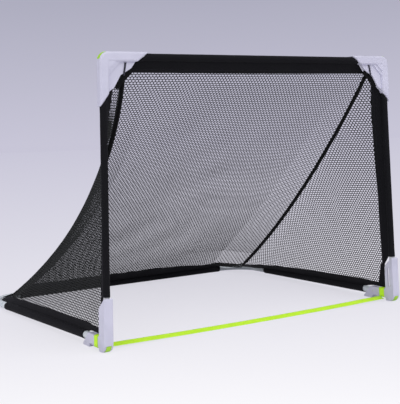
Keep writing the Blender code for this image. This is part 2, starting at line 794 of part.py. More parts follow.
def make_crossbar_border(name):
    out = crossbar_border_direction()
    slope = (WEB_SHOULDER[0] - (ARM_LENGTH - ARM_SLANT)) / (WEB_SHOULDER[1] - RIM)
    rows = []
    for reach in (SLEEVE_RADIUS + SEAM, SLEEVE_RADIUS + CROSSBAR_BORDER):
        drop = -out.z * reach
        inset = ARM_LENGTH - ARM_SLANT + slope * (RIM / 2 + drop - RIM) + 0.006
        centre = Vector((0, POST_Y, CROSSBAR_Z)) + out * reach
        half = GOAL_WIDTH / 2 - lean(centre.z) - inset
        rows.append([centre + Vector((-half + 2 * half * k / 8, 0, 0)) for k in range(9)])
    return sheet(name, rows, BORDER_THICKNESS, fabric_material(name))


def post_border_edge(height, side, reach):
    """A point of the post border: it turns to face the rib at its own height."""
    middle = Vector((side * (POST_X - lean(height)), POST_Y, height))
    towards = rib_where(height, 2, side) - middle
    towards.z = 0
    return middle + towards.normalized() * reach


def post_border_rows(side):
    inner, outer = SLEEVE_RADIUS + SEAM, SLEEVE_RADIUS + POST_BORDER
    bottom = ARM_LENGTH + 0.008
    slope = (WEB_SHOULDER[0] - (ARM_LENGTH - ARM_SLANT)) / (WEB_SHOULDER[1] - RIM)
    top = GOAL_HEIGHT - (ARM_LENGTH - ARM_SLANT)
    low, high = [], []
    for k in range(9):
        share = k / 8
        near = bottom + (top - 0.010 - bottom) * share
        far = bottom + (top + slope * -0.024 - 0.004 - bottom) * share
        low.append(post_border_edge(near, side, inner))
        high.append(post_border_edge(far, side, outer))
    return low, high


def make_post_border(name, side):
    low, high = post_border_rows(side)
    return sheet(name, [low, high], BORDER_THICKNESS, fabric_material(name))


def make_top_patch(name, side):
    """Cloth corner that follows the bracket's inner edge, where rib and borders meet."""
    far, near = WEB_SHOULDER[0] + GAP, WEB_SHOULDER[1] + GAP
    inner = WEB_NOTCH + GAP
    outline = [
        (far, near), (inner, inner), (near, far),
        (near + 0.014, far + 0.006), (inner + 0.015, inner + 0.015), (far + 0.006, near + 0.014),
    ]
    half = BORDER_THICKNESS / 2
    cloth = prism(name, top_outline(outline, side), "Y", POST_Y - half, POST_Y + half, fabric_material(name))
    return lean_in(cloth, side)


def make_elastic(name, side):
    """Elastic strap from the bracket's slot over its web to the cloth corner."""
    wide, high = ELASTIC_SLOT[0] / 2 - 0.0017, ELASTIC_SLOT[1] - 0.001
    top = RIM + 0.0015
    place = ELASTIC_PLACE
    run = [
        (place - wide, top), (place + wide, top), (place + wide - 0.006, WEB_NOTCH + 0.001),
        (place - wide - 0.006, WEB_NOTCH + 0.001),
    ]
    hook = [(place - wide, top), (place + wide, top), (place + wide, top + high), (place - wide, top + high)]
    front = FRONT + WEB_INSET - GAP
    strap = prism(
        name, top_outline(run, side), "Y", front - 0.0022, front, material(name, (0.05, 0.05, 0.06), 0.8)
    )
    into_slot = prism(f"{name} hook", top_outline(hook, side), "Y", front - 0.001, POST_Y)
    boolean(strap, lean_in(into_slot, side), "UNION")
    return lean_in(strap, side)


def make_rib(name, side):
    """Binding tape over the seam of back net and side net."""
    route = [rib_point(t, side) for t in rib_shares(SIDE_NET_CELLS[1] + 1)]
    return swept(name, route, RIB_RADIUS, fabric_material(name), resolution=2)


def rib_shares(count):
    return [RIB_START + (RIB_END - RIB_START) * k / (count - 1) for k in range(count)]


def make_back_net(name):
    """Net from the crossbar to the rear tube, between the two ribs."""
    across, up = BACK_NET_CELLS
    reach = RIB_RADIUS + SEAM + NET_THICKNESS / 2
    top_out = crossbar_border_direction() * (SLEEVE_RADIUS + CROSSBAR_BORDER + SEAM * 2)
    top_line = Vector((0, POST_Y, CROSSBAR_Z)) + top_out
    low_line = Vector((0, REAR_Y, REAR_Z)) + rear_border_direction() * (HOOP_SLEEVE_RADIUS + REAR_BORDER + SEAM)
    edges = []
    for side in (-1, 1):
        edge = [rib_point(t, side) - Vector((side * reach, 0, 0)) for t in rib_shares(up + 1)]
        edge[0] = Vector((edge[0].x, top_line.y, top_line.z))
        edges.append(edge[::-1])
    left, right = edges
    half = rear_flap_start()
    middle = [low_line + Vector((-half + 2 * half * k / (across - 2), 0, 0)) for k in range(across - 1)]
    bottom = [left[0]] + middle + [right[0]]
    top = [left[-1].lerp(right[-1], k / across) for k in range(across + 1)]
    rows = patch(bottom, top, left, right)
    for j, row in enumerate(rows):
        for i, place in enumerate(row):
            middle = math.sin(math.pi * i / across) * math.sin(math.pi * j / up)
            place += Vector((0, 1, 1)).normalized() * BACK_NET_BULGE * middle
    return open_mesh(name, rows, NET_THICKNESS, net_material(name))


def make_side_net(name, side):
    """Net between post, floor tube and rib."""
    across, up = SIDE_NET_CELLS
    reach = RIB_RADIUS + SEAM + NET_THICKNESS / 2
    shares = rib_shares(up + 1)[::-1]
    right = []
    for t in shares:
        tangent = rib_tangent(t, side)
        inwards = Vector((0, tangent.z, -tangent.y)).normalized()
        right.append(rib_point(t, side) + inwards * reach)
    _, post_high = post_border_rows(side)
    _, floor_high = side_border_rows(side)
    lift = Vector((0, 0, SEAM * 2))
    back = Vector((-side * 0.0006, SEAM * 2, 0))
    corner = floor_high[0] + lift * 1.5
    beside = Vector((corner.x - side * 0.001, corner.y, ARM_LENGTH - CHEEK_DROP - 0.014))
    below = post_high[0] + back * 1.5 - Vector((0, 0, 0.003))
    left = [corner, beside] + along([below] + [place + back for place in post_high[1:]], up - 1)
    turn = [floor_high[2] + lift, floor_high[3] + lift]
    rest = along([turn[1]] + [place + lift for place in floor_high[4:-3]] + [right[0]], across - 1)
    bottom = [corner] + turn + rest[1:]
    top = [left[-1].lerp(right[-1], k / across) for k in range(across + 1)]
    return open_mesh(name, patch(bottom, top, left, right), NET_THICKNESS, net_material(name))


def make_webbing_loop(name, side):
    """Webbing round the foot bracket's rear arm, through the arch under it."""
    inner, outer = side * (GOAL_WIDTH / 2 - RIM), side * GOAL_WIDTH / 2
    low_x, high_x = min(inner, outer) - GAP, max(inner, outer) + GAP
    low_z, high_z = FOOT_ARCH_HEIGHT - GAP, FOOT_ARM_HEIGHT + GAP
    thick = WEBBING_THICKNESS
    start, end = FRONT + WEBBING_PLACE - WEBBING_WIDTH / 2, FRONT + WEBBING_PLACE + WEBBING_WIDTH / 2
    outside = [(low_x - thick, low_z - thick), (high_x + thick, low_z - thick),
               (high_x + thick, high_z + thick), (low_x - thick, high_z + thick)]
    inside = [(low_x, low_z), (high_x, low_z), (high_x, high_z), (low_x, high_z)]
    loop = prism(name, outside, "Y", start, end, accent_material(name))
    cut_leaning(loop, side, [prism(f"{name} inside", inside, "Y", start - 0.01, end + 0.01)])
    return lean_in(loop, side)


def make_goal_line(name):
    """Webbing that ties the two foot brackets together across the goal mouth."""
    height = FOOT_ARCH_HEIGHT - GAP - WEBBING_THICKNESS / 2
    reach = GOAL_WIDTH / 2 - RIM - lean(height) - WEBBING_THICKNESS - SEAM * 1.5
    rows = []
    for y in (WEBBING_PLACE - WEBBING_WIDTH / 2, WEBBING_PLACE + WEBBING_WIDTH / 2):
        row = []
        for k in range(17):
            x = -reach + 2 * reach * k / 16
            sag = WEBBING_SAG * (1 - (x / reach) ** 2)
            row.append(Vector((x, FRONT + y, height - sag)))
        rows.append(row)
    return sheet(name, rows, WEBBING_THICKNESS, accent_material(name))


def make_rivet(name, place, out):
    """A domed rivet head that stands on a bracket at place and points along out."""
    out = Vector(out)
    shape = bmesh.new()
    bmesh.ops.create_cone(
        shape, cap_ends=True, segments=10, radius1=0.0042, radius2=0.0026, depth=0.0014,
        matrix=Matrix.Translation(Vector(place) + out * (0.0007 + GAP))
        @ out.to_track_quat("Z", "Y").to_matrix().to_4x4(),
    )
    return from_bmesh(name, shape, hardware_material(name))


def make_post_rivet(name, side):
    return lean_in(make_rivet(name, (side * POST_X, FRONT + RIM, GOAL_HEIGHT - 0.085), (0, 1, 0)), side)


def make_crossbar_rivet(name, side):
    place = (side * (GOAL_WIDTH / 2 - 0.085), FRONT + RIM, CROSSBAR_Z)
    return lean_in(make_rivet(name, place, (0, 1, 0)), side)


def make_foot_rivet(name, side):
    inner = side * (GOAL_WIDTH / 2 - RIM)
    return lean_in(make_rivet(name, (inner, FRONT + 0.112, HOOP_SOCKET_HEIGHT), (-side, 0, 0)), side)


def parts_of(thing):
    """The piece and the hidden tools that shape it, also the tools of its tools."""
    found = [thing]
    for step in thing.modifiers:
        if step.type == "BOOLEAN" and step.object is not None:
            found += parts_of(step.object)
    return found


def hang_on(hinge, things):
    """Parent pieces to the hinge's empty and leave them where they are."""
    for thing in things:
        for piece in parts_of(thing):
            piece.parent = hinge
            piece.matrix_parent_inverse = Matrix.Translation(-hinge.location)


def build():
    clear_scene()
    hinge = bpy.data.objects.new("front_frame_hinge", None)
    hinge.location = (0, POST_Y, PIVOT_HEIGHT)
    bpy.context.collection.objects.link(hinge)
    for word, side in (("left", -1), ("right", 1)):
        hang_on(hinge, [
            make_post(f"{word}_post_tube", side),
            make_top_corner(f"{word}_top_corner", side),
            make_top_bumper(f"{word}_top_bumper", side),
            make_foot_plug(f"{word}_foot_plug", side),
            make_post_sleeve(f"{word}_post_sleeve", side),
            make_post_border(f"{word}_post_border", side),
            make_top_patch(f"{word}_top_patch", side),
            make_elastic(f"{word}_elastic_strap", side),
            make_post_rivet(f"{word}_post_rivet", side),
            make_crossbar_rivet(f"{word}_crossbar_rivet", side),
        ])
        make_side_tube(f"{word}_floor_tube", side)
        make_spigot(f"{word}_rear_spigot", side)
        make_foot_corner(f"{word}_foot_corner", side)
        make_foot_bumper(f"{word}_foot_bumper", side)
        make_foot_rivet(f"{word}_foot_rivet", side)
        make_pivot_pin(f"{word}_pivot_pin", side)
        make_side_sleeve(f"{word}_floor_sleeve", side)
        make_side_border(f"{word}_floor_border", side)
        make_rib(f"{word}_net_rib", side)
        make_side_net(f"{word}_side_net", side)
        make_webbing_loop(f"{word}_webbing_loop", side)
    hang_on(hinge, [
        make_crossbar("crossbar_tube"),
        make_crossbar_sleeve("crossbar_sleeve"),
        make_crossbar_border("crossbar_border"),
    ])
    make_rear_tube("rear_tube")
    make_rear_sleeve("rear_sleeve")
    make_rear_border("rear_border")
    make_back_net("back_net")
    make_goal_line("goal_line_webbing")


build()
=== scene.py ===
import bpy
import bmesh
import math
from mathutils import Matrix, Vector, noise
from mathutils.bvhtree import BVHTree
from mathutils.geometry import barycentric_transform


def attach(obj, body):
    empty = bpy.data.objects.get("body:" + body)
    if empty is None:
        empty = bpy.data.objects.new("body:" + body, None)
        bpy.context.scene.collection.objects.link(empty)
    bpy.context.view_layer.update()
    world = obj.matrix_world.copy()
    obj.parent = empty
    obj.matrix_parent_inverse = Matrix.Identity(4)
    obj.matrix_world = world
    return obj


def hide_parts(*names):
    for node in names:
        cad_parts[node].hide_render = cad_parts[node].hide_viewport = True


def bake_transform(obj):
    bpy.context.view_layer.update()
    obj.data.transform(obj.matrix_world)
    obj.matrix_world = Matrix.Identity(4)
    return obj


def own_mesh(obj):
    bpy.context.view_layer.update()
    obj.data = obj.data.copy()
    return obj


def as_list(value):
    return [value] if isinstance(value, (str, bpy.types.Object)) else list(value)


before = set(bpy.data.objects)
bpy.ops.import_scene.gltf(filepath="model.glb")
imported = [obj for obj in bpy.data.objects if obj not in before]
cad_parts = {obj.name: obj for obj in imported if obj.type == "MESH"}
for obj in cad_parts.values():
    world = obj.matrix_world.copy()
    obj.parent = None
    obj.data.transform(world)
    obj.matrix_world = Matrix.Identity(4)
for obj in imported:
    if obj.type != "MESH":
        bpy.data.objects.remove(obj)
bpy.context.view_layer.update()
sides = (("left", -1), ("right", 1))
print("folding soccer goal: frame loaded")

# the goal's own places, in metres
goal = {
    "width": 1.20, "height": 0.90, "depth": 1.095,
    "postLean": 0.032,          # how far a post's top stands in from its foot
    "hoopSplay": 0.033,         # how far the floor hoop widens towards the back
    "rim": 0.030,               # how wide and deep the moulded corners are outside
    "armLength": 0.165, "armSlant": 0.040,
    "postRadius": 0.0095, "hoopRadius": 0.0125, "bendRadius": 0.12, "sleeveWall": 0.0015,
    "hoopSocket": 0.028, "pivotHeight": 0.060,
    "armGap": 0.004,            # from a foot corner's arm to the side sleeve
    "bareTube": 0.095,          # straight side tube left bare before each rear bend
    "bendGap": 0.005,           # from a rear bend to the rear sleeve
    "ribGuide": (
        (0.485, 0.024, 0.838), (0.432, 0.225, 0.507), (0.473, 0.590, 0.220), (0.560, 1.020, 0.010),
    ),
    "ribStart": 0.035, "ribEnd": 0.950,
}
front = -goal["depth"] / 2
postX = goal["width"] / 2 - goal["rim"] / 2
postY = front + goal["rim"] / 2
crossbarZ = goal["height"] - goal["rim"] / 2
sleeveRadius = goal["postRadius"] + goal["sleeveWall"]
hoopSleeveRadius = goal["hoopRadius"] + goal["sleeveWall"]
rearY = goal["depth"] / 2 - hoopSleeveRadius
rearZ = hoopSleeveRadius
armEnd = goal["armLength"] - goal["armSlant"]
bendY = rearY - goal["bendRadius"]
sideStart, sideEnd = front + goal["armLength"] + goal["armGap"], bendY - goal["bareTube"]

# camera first, matched to the photo: yaw from +Y towards +X, then pitch and roll, in degrees
cameraSet = {
    "yaw": 30.94, "pitch": -4.37, "roll": -2.29, "place": (-1.636, -2.8645, 0.638), "focalPixels": 856.0,
    "pictureWidth": 400.0, "sensor": 36.0, "nearest": 0.05, "farthest": 500.0,
}


def makeCamera():
    lens = bpy.data.cameras.new("photoCamera")
    lens.sensor_fit = "HORIZONTAL"
    lens.sensor_width = cameraSet["sensor"]
    lens.lens = cameraSet["focalPixels"] * cameraSet["sensor"] / cameraSet["pictureWidth"]
    lens.clip_start, lens.clip_end = cameraSet["nearest"], cameraSet["farthest"]
    camera = bpy.data.objects.new("photoCamera", lens)
    bpy.context.scene.collection.objects.link(camera)
    turn = Matrix.Rotation(math.radians(-cameraSet["yaw"]), 4, "Z")
    tilt = Matrix.Rotation(math.radians(90 + cameraSet["pitch"]), 4, "X")
    roll = Matrix.Rotation(math.radians(cameraSet["roll"]), 4, "Z")
    camera.matrix_world = Matrix.Translation(cameraSet["place"]) @ turn @ tilt @ roll
    bpy.context.scene.camera = camera


makeCamera()
print("camera placed")


# Finishes: small helpers that wire up node materials.
def newFinish(name, colour, roughness, **others):
    # others are more of the shader's inputs
    finish = bpy.data.materials.new(name)
    finish.use_nodes = True
    finish.diffuse_color = (*colour, 1)
    tree = finish.node_tree
    shader = tree.nodes["Principled BSDF"]
    for key, value in {"Base Color": (*colour, 1), "Roughness": roughness, **others}.items():
        shader.inputs[key].default_value = value
    return finish, tree, shader


def paintShader(tree, shader, tint, rough):
    tree.links.new(tint, shader.inputs["Base Color"])
    tree.links.new(rough, shader.inputs["Roughness"])


def addNode(tree, kind, **values):
    # each value goes to the node's own setting of that name, or else to its input socket
    node = tree.nodes.new(kind)
    for key, value in values.items():
        if hasattr(node, key):
            setattr(node, key, value)
        else:
            node.inputs[key].default_value = value
    return node


def mathNode(tree, operation, first, second=None):
    node = addNode(tree, "ShaderNodeMath", operation=operation)
    for slot, value in zip(node.inputs, (first, second)):
        if value is None:
            continue
        if isinstance(value, (int, float)):
            slot.default_value = value
        else:
            tree.links.new(value, slot)
    return node.outputs[0]


def noiseValue(tree, coords, scale, detail=3.0, roughness=0.55):
    node = addNode(tree, "ShaderNodeTexNoise", Scale=scale, Detail=detail, Roughness=roughness)
    tree.links.new(coords, node.inputs["Vector"])
    return node.outputs["Fac"]


def rampValue(tree, value, low, high, outLow=0.0, outHigh=1.0):
    node = tree.nodes.new("ShaderNodeMapRange")
    ends = (("From Min", low), ("From Max", high), ("To Min", outLow), ("To Max", outHigh))
    for socket, number in ends:
        node.inputs[socket].default_value = number
    tree.links.new(value, node.inputs["Value"])
    return node.outputs["Result"]


def mixColour(tree, share, first, second):
    node = addNode(tree, "ShaderNodeMix", data_type="RGBA")
    tree.links.new(share, node.inputs["Factor"])
    colourSlots = [slot for slot in node.inputs if slot.type == "RGBA"]
    for slot, value in zip(colourSlots, (first, second)):
        if isinstance(value, tuple):
            slot.default_value = (*value, 1)
        else:
            tree.links.new(value, slot)
    return [slot for slot in node.outputs if slot.type == "RGBA"][0]


def addBump(tree, shader, height, strength, distance):
    node = addNode(tree, "ShaderNodeBump", Strength=strength, Distance=distance)
    tree.links.new(height, node.inputs["Height"])
    tree.links.new(node.outputs["Normal"], shader.inputs["Normal"])


def objectPlace(tree):
    return tree.nodes.new("ShaderNodeTexCoord").outputs["Object"]


def splitAxes(tree, vector):
    node = tree.nodes.new("ShaderNodeSeparateXYZ")
    tree.links.new(vector, node.inputs[0])
    return node.outputs


def scaleHeights(tree, place, scale):
    node = addNode(tree, "ShaderNodeMapping", Scale=(1.0, 1.0, scale))
    tree.links.new(place, node.inputs["Vector"])
    return node.outputs[0]


# noise mostly stays between these, for tints and for roughness
tintRange, roughRange = (0.35, 0.7), (0.3, 0.7)

# moulded corner plastic: two close tints, fine spark texture, rubbed and dusty towards the sole
cornerLook = {
    "colour": (0.605, 0.597, 0.725), "shade": (0.525, 0.520, 0.640), "dust": (0.36, 0.35, 0.36),
    "roughness": 0.46, "roughEnds": (0.40, 0.54), "cloudScale": 9.0,
    "dustHeight": 0.030, "dustShare": 0.55, "speckScale": 130.0, "speckRange": (0.45, 0.72),
    "dustRoughness": 0.5,
    "scuffScale": 28.0, "scuffSquash": 7.0, "scuffRange": (0.70, 0.80), "scuffShare": 0.28, "scuffDent": -1.5,
    "grainScale": 1500.0, "grain": 0.22,
}
bumpDepth = {"hard": 0.0004, "cloth": 0.0003}


def cornerFinish():
    look = cornerLook
    finish, tree, shader = newFinish("cornerPlastic", look["colour"], look["roughness"])
    place = objectPlace(tree)
    clouds = noiseValue(tree, place, look["cloudScale"])
    tint = mixColour(tree, rampValue(tree, clouds, *tintRange), look["colour"], look["shade"])
    low = rampValue(tree, splitAxes(tree, place)["Z"], 0.0, look["dustHeight"], look["dustShare"], 0.0)
    specks = rampValue(tree, noiseValue(tree, place, look["speckScale"], 4.0, 0.7), *look["speckRange"])
    dusty = mathNode(tree, "MULTIPLY", low, specks)
    tint = mixColour(tree, dusty, tint, look["dust"])
    # a few handling scuffs
    scuffs = noiseValue(tree, scaleHeights(tree, place, look["scuffSquash"]), look["scuffScale"], 5.0, 0.8)
    scuffs = rampValue(tree, scuffs, *look["scuffRange"], 0.0, look["scuffShare"])
    tint = mixColour(tree, scuffs, tint, look["shade"])
    rough = rampValue(tree, clouds, *roughRange, *look["roughEnds"])
    dustRough = mathNode(tree, "MULTIPLY", dusty, look["dustRoughness"])
    paintShader(tree, shader, tint, mathNode(tree, "ADD", rough, dustRough))
    dents = mathNode(tree, "MULTIPLY", scuffs, look["scuffDent"])
    grain = mathNode(tree, "ADD", noiseValue(tree, place, look["grainScale"], 2.0), dents)
    addBump(tree, shader, grain, look["grain"], bumpDepth["hard"])
    return finish


# painted and plain tube, hardware, plug and rubber share one maker, each with its own row of numbers
hardLooks = {
    # colour, shade, roughness, metallic, coat, grain's scale and depth, and how far the grain is drawn out
    "tubePaint": ((0.62, 0.66, 0.70), (0.53, 0.57, 0.62), 0.36, 0.0, 0.25, 420.0, 0.10, 1.0),
    "plainTube": ((0.56, 0.57, 0.59), (0.44, 0.45, 0.47), 0.34, 0.9, 0.0, 900.0, 0.12, 12.0),
    "zincSteel": ((0.62, 0.62, 0.64), (0.48, 0.48, 0.50), 0.30, 1.0, 0.0, 700.0, 0.10, 1.0),
    "plugPlastic": ((0.022, 0.022, 0.025), (0.035, 0.035, 0.038), 0.48, 0.0, 0.0, 1100.0, 0.2, 1.0),
    "bumperRubber": ((0.44, 0.76, 0.045), (0.34, 0.62, 0.03), 0.58, 0.0, 0.0, 1300.0, 0.25, 1.0),
}
hardSet = {
    "cloudScale": 22.0, "tintRange": (0.35, 0.68), "smoother": 0.06, "rougher": 0.08, "coatRoughness": 0.25,
}


def hardFinish(name):
    colour, shade, roughness, metallic, coat, grainScale, grain, drawnOut = hardLooks[name]
    finish, tree, shader = newFinish(
        name, colour, roughness,
        **{"Metallic": metallic, "Coat Weight": coat, "Coat Roughness": hardSet["coatRoughness"]},
    )
    place = objectPlace(tree)
    clouds = noiseValue(tree, place, hardSet["cloudScale"], 4.0)
    tint = mixColour(tree, rampValue(tree, clouds, *hardSet["tintRange"]), colour, shade)
    ends = roughness - hardSet["smoother"], roughness + hardSet["rougher"]
    paintShader(tree, shader, tint, rampValue(tree, clouds, *roughRange, *ends))
    drawn = scaleHeights(tree, place, 1.0 / drawnOut)
    addBump(tree, shader, noiseValue(tree, drawn, grainScale, 2.0), grain, bumpDepth["hard"])
    return finish


# woven cloth: threads run along the piece's own "weave" map, stitches along its "hems" map, both in metres
clothLooks = {
    "bandCloth": {"colour": (0.0038, 0.0037, 0.0052), "thread": (0.0085, 0.0083, 0.0108), "pitch": 0.0016,
                  "bump": 0.35, "roughness": 0.80, "sheen": 0.015, "stitch": (0.020, 0.020, 0.024),
                  "stitchRows": (0.0028, 0.0098), "stitchLength": 0.0042},
    "tapeCloth": {"colour": (0.0028, 0.0028, 0.0034), "thread": (0.0065, 0.0065, 0.0075), "pitch": 0.0012,
                  "bump": 0.4, "roughness": 0.84, "sheen": 0.01, "stitch": (0.016, 0.016, 0.018),
                  "stitchRows": (0.0015,), "stitchLength": 0.0038},
    "elasticCloth": {"colour": (0.028, 0.027, 0.042), "thread": (0.05, 0.05, 0.07), "pitch": 0.0011,
                     "bump": 0.5, "roughness": 0.7, "sheen": 0.12, "stitch": (0.02, 0.02, 0.03),
                     "stitchRows": (0.0008,), "stitchLength": 0.003},
    "neonWebbing": {"colour": (0.50, 0.85, 0.025), "thread": (0.62, 0.93, 0.06), "pitch": 0.0018,
                    "bump": 0.5, "roughness": 0.66, "sheen": 0.05, "stitch": (0.46, 0.70, 0.07),
                    "stitchRows": (0.0022,), "stitchLength": 0.004, "glow": 0.05},    # painted light: a little emission in the webbing's own colour brightens it
}
clothSet = {
    "cloudScale": 14.0, "wear": 0.6, "leastWear": 0.3, "stitchHalf": 0.00045, "stitchShare": 0.68,
    "sheenRoughness": 0.5, "specular": 0.12, "smoother": 0.05, "rougher": 0.07,
}


def clothFinish(name):
    look = clothLooks[name]
    finish, tree, shader = newFinish(name, look["colour"], look["roughness"], **{
        "Sheen Weight": look["sheen"], "Sheen Roughness": clothSet["sheenRoughness"],
        "Specular IOR Level": clothSet["specular"],
        # painted light: emission in the cloth's own colour, as strong as its look's glow
        "Emission Color": (*look["colour"], 1), "Emission Strength": look.get("glow", 0.0),
    })
    weave = splitAxes(tree, addNode(tree, "ShaderNodeUVMap", uv_map="weave").outputs[0])
    turns = math.tau / look["pitch"]
    across = mathNode(tree, "SINE", mathNode(tree, "MULTIPLY", weave["X"], turns))
    along = mathNode(tree, "SINE", mathNode(tree, "MULTIPLY", weave["Y"], turns))
    crossing = mathNode(tree, "MULTIPLY", across, along)      # a plain weave, one thread over, one under
    threads = rampValue(tree, crossing, -1.0, 1.0)
    clouds = rampValue(tree, noiseValue(tree, objectPlace(tree), clothSet["cloudScale"], 4.0), *roughRange)
    worn = mathNode(tree, "MULTIPLY", clouds, clothSet["wear"])
    worn = mathNode(tree, "ADD", worn, clothSet["leastWear"])
    tint = mixColour(tree, mathNode(tree, "MULTIPLY", threads, worn), look["colour"], look["thread"])
    hems = splitAxes(tree, addNode(tree, "ShaderNodeUVMap", uv_map="hems").outputs[0])
    row = None
    for distance in look["stitchRows"]:
        off = mathNode(tree, "ABSOLUTE", mathNode(tree, "SUBTRACT", hems["X"], distance))
        line = mathNode(tree, "LESS_THAN", off, clothSet["stitchHalf"])
        row = line if row is None else mathNode(tree, "MAXIMUM", row, line)
    dash = mathNode(tree, "FRACT", mathNode(tree, "MULTIPLY", hems["Y"], 1 / look["stitchLength"]))
    stitches = mathNode(tree, "MULTIPLY", row, mathNode(tree, "LESS_THAN", dash, clothSet["stitchShare"]))
    tint = mixColour(tree, stitches, tint, look["stitch"])
    ends = look["roughness"] - clothSet["smoother"], look["roughness"] + clothSet["rougher"]
    paintShader(tree, shader, tint, rampValue(tree, clouds, 0.0, 1.0, *ends))
    addBump(tree, shader, mathNode(tree, "ADD", threads, stitches), look["bump"], bumpDepth["cloth"])
    return finish


# knitted net yarn
yarnLook = {
    "colour": (0.008, 0.009, 0.009), "light": (0.024, 0.026, 0.025), "roughness": 0.70,
    "roughEnds": (0.60, 0.76), "fibreScale": 900.0, "specular": 0.2, "bump": 0.4,
}


def yarnFinish():
    look = yarnLook
    finish, tree, shader = newFinish(
        "netYarn", look["colour"], look["roughness"], **{"Specular IOR Level": look["specular"]},
    )
    fibres = noiseValue(tree, objectPlace(tree), look["fibreScale"], 2.0)
    tint = mixColour(tree, rampValue(tree, fibres, *tintRange), look["colour"], look["light"])
    paintShader(tree, shader, tint, rampValue(tree, fibres, *roughRange, *look["roughEnds"]))
    addBump(tree, shader, fibres, look["bump"], bumpDepth["cloth"])
    return finish


finishes = {name: hardFinish(name) for name in hardLooks}
finishes.update({name: clothFinish(name) for name in clothLooks})
finishes["cornerPlastic"] = cornerFinish()
finishes["netYarn"] = yarnFinish()
print("finishes mixed")

# the CAD's rigid pieces keep their shape and get their finish
rigidFinish = {
    "top_corner": "cornerPlastic", "foot_corner": "cornerPlastic", "top_bumper": "bumperRubber",
    "foot_bumper": "bumperRubber", "foot_plug": "plugPlastic", "post_tube": "plainTube",
    "crossbar_tube": "plainTube", "floor_tube": "tubePaint", "rear_tube": "tubePaint",
    "rear_spigot": "plainTube", "post_rivet": "zincSteel", "crossbar_rivet": "zincSteel",
    "foot_rivet": "zincSteel", "pivot_pin": "zincSteel",
}
for nodeName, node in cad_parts.items():
    for ending, finishName in rigidFinish.items():
        if nodeName.endswith(ending):
            node.data.materials.clear()
            node.data.materials.append(finishes[finishName])
print("frame pieces finished")

# The goal's lines, worked out as the frame has them.
crossbarTilt = math.radians(29)
crossbarOut = Vector((0, math.sin(crossbarTilt), -math.cos(crossbarTilt)))
rearTilt = math.radians(52)
rearOut = Vector((0, -math.cos(rearTilt), math.sin(rearTilt)))


def leanAt(height):
    return goal["postLean"] * height / goal["height"]


def hoopPoint(y, side):
    start = front + goal["armLength"]
    share = max(0.0, (y - start) / (rearY - start))
    x = postX - leanAt(goal["hoopSocket"]) + goal["hoopSplay"] * share
    return Vector((side * x, y, goal["hoopSocket"] + (rearZ - goal["hoopSocket"]) * share))


rearHalf = hoopPoint(bendY, 1).x - goal["bendRadius"] - goal["bendGap"]
insideBend = {"gap": 0.0048, "rise": 0.006}       # where cloth lies against a rear bend


def bendInside(degrees, side):
    # just inside the rear bend: 0 is beside the floor tube, 90 in front of the rear one
    entry = hoopPoint(bendY, side)
    middle = Vector((entry.x - side * goal["bendRadius"], entry.y, rearZ))
    reach = goal["bendRadius"] - goal["hoopRadius"] - insideBend["gap"]
    turn = math.radians(degrees)
    outwards = Vector((side * math.cos(turn), math.sin(turn), 0))
    return middle + outwards * reach + Vector((0, 0, insideBend["rise"]))


def ribPoint(t, side):
    a, b, c, d = (Vector(point) for point in goal["ribGuide"])
    u = 1 - t
    place = a * u ** 3 + b * 3 * t * u * u + c * 3 * t * t * u + d * t ** 3
    return Vector((side * place.x, front + place.y, place.z))


def ribWhere(value, axis, side):
    # where the rib reaches a depth (axis 1) or a height (axis 2)
    low, high = goal["ribStart"], 1.0
    rising = 1 if axis == 1 else -1
    for step in range(30):
        middle = (low + high) / 2
        if (ribPoint(middle, side)[axis] - value) * rising < 0:
            low = middle
        else:
            high = middle
    return ribPoint(low, side)


def stretchAt(points, share):
    # which stretch of a line a share of its length falls in, and how far along that stretch
    lengths = [0.0]
    for a, b in zip(points, points[1:]):
        lengths.append(lengths[-1] + (b - a).length)
    reached = lengths[-1] * min(max(share, 0.0), 1.0)
    last = len(points) - 2
    k = next((k for k in range(last) if reached <= lengths[k + 1]), last)
    return k, (reached - lengths[k]) / max(lengths[k + 1] - lengths[k], 1e-9)


def alongLine(points, share):
    k, part = stretchAt(points, share)
    return points[k].lerp(points[k + 1], part)


def lineLength(points):
    return sum((b - a).length for a, b in zip(points, points[1:]))


def ripple(place, size, seed):
    return noise.noise(Vector(place) / size + Vector((seed * 7.3, seed * 3.1, seed * 1.7)))


def coons(u, v, bottom, top, left, right):
    # fills four edges: bottom and top run one way, left and right run up
    edge = bottom(u) * (1 - v) + top(u) * v + left(v) * (1 - u) + right(v) * u
    corner = (bottom(0) * (1 - u) + bottom(1) * u) * (1 - v) + (top(0) * (1 - u) + top(1) * u) * v
    return edge - corner


# Cloth: a flat grid with its own maps, bent into place point by point.
def bendCloth(across, along, place, size, hem=None):
    cloth = bmesh.new()
    weave = cloth.loops.layers.uv.new("weave")
    hems = cloth.loops.layers.uv.new("hems")
    bmesh.ops.create_grid(cloth, x_segments=across, y_segments=along, size=0.5)
    for face in cloth.faces:
        for corner in face.loops:
            u, v = corner.vert.co.x + 0.5, corner.vert.co.y + 0.5
            corner[weave].uv = (u * size[0], v * size[1])
            corner[hems].uv = hem(u, v) if hem else (min(v, 1 - v) * size[1], u * size[0])
    for point in cloth.verts:
        point.co = place(point.co.x + 0.5, point.co.y + 0.5)
    return cloth


def closeCloth(cloth, fillEnds):
    bmesh.ops.remove_doubles(cloth, verts=cloth.verts, dist=0.00003)
    if fillEnds:
        bmesh.ops.holes_fill(cloth, edges=[edge for edge in cloth.edges if edge.is_boundary], sides=0)
    bmesh.ops.recalc_face_normals(cloth, faces=cloth.faces)


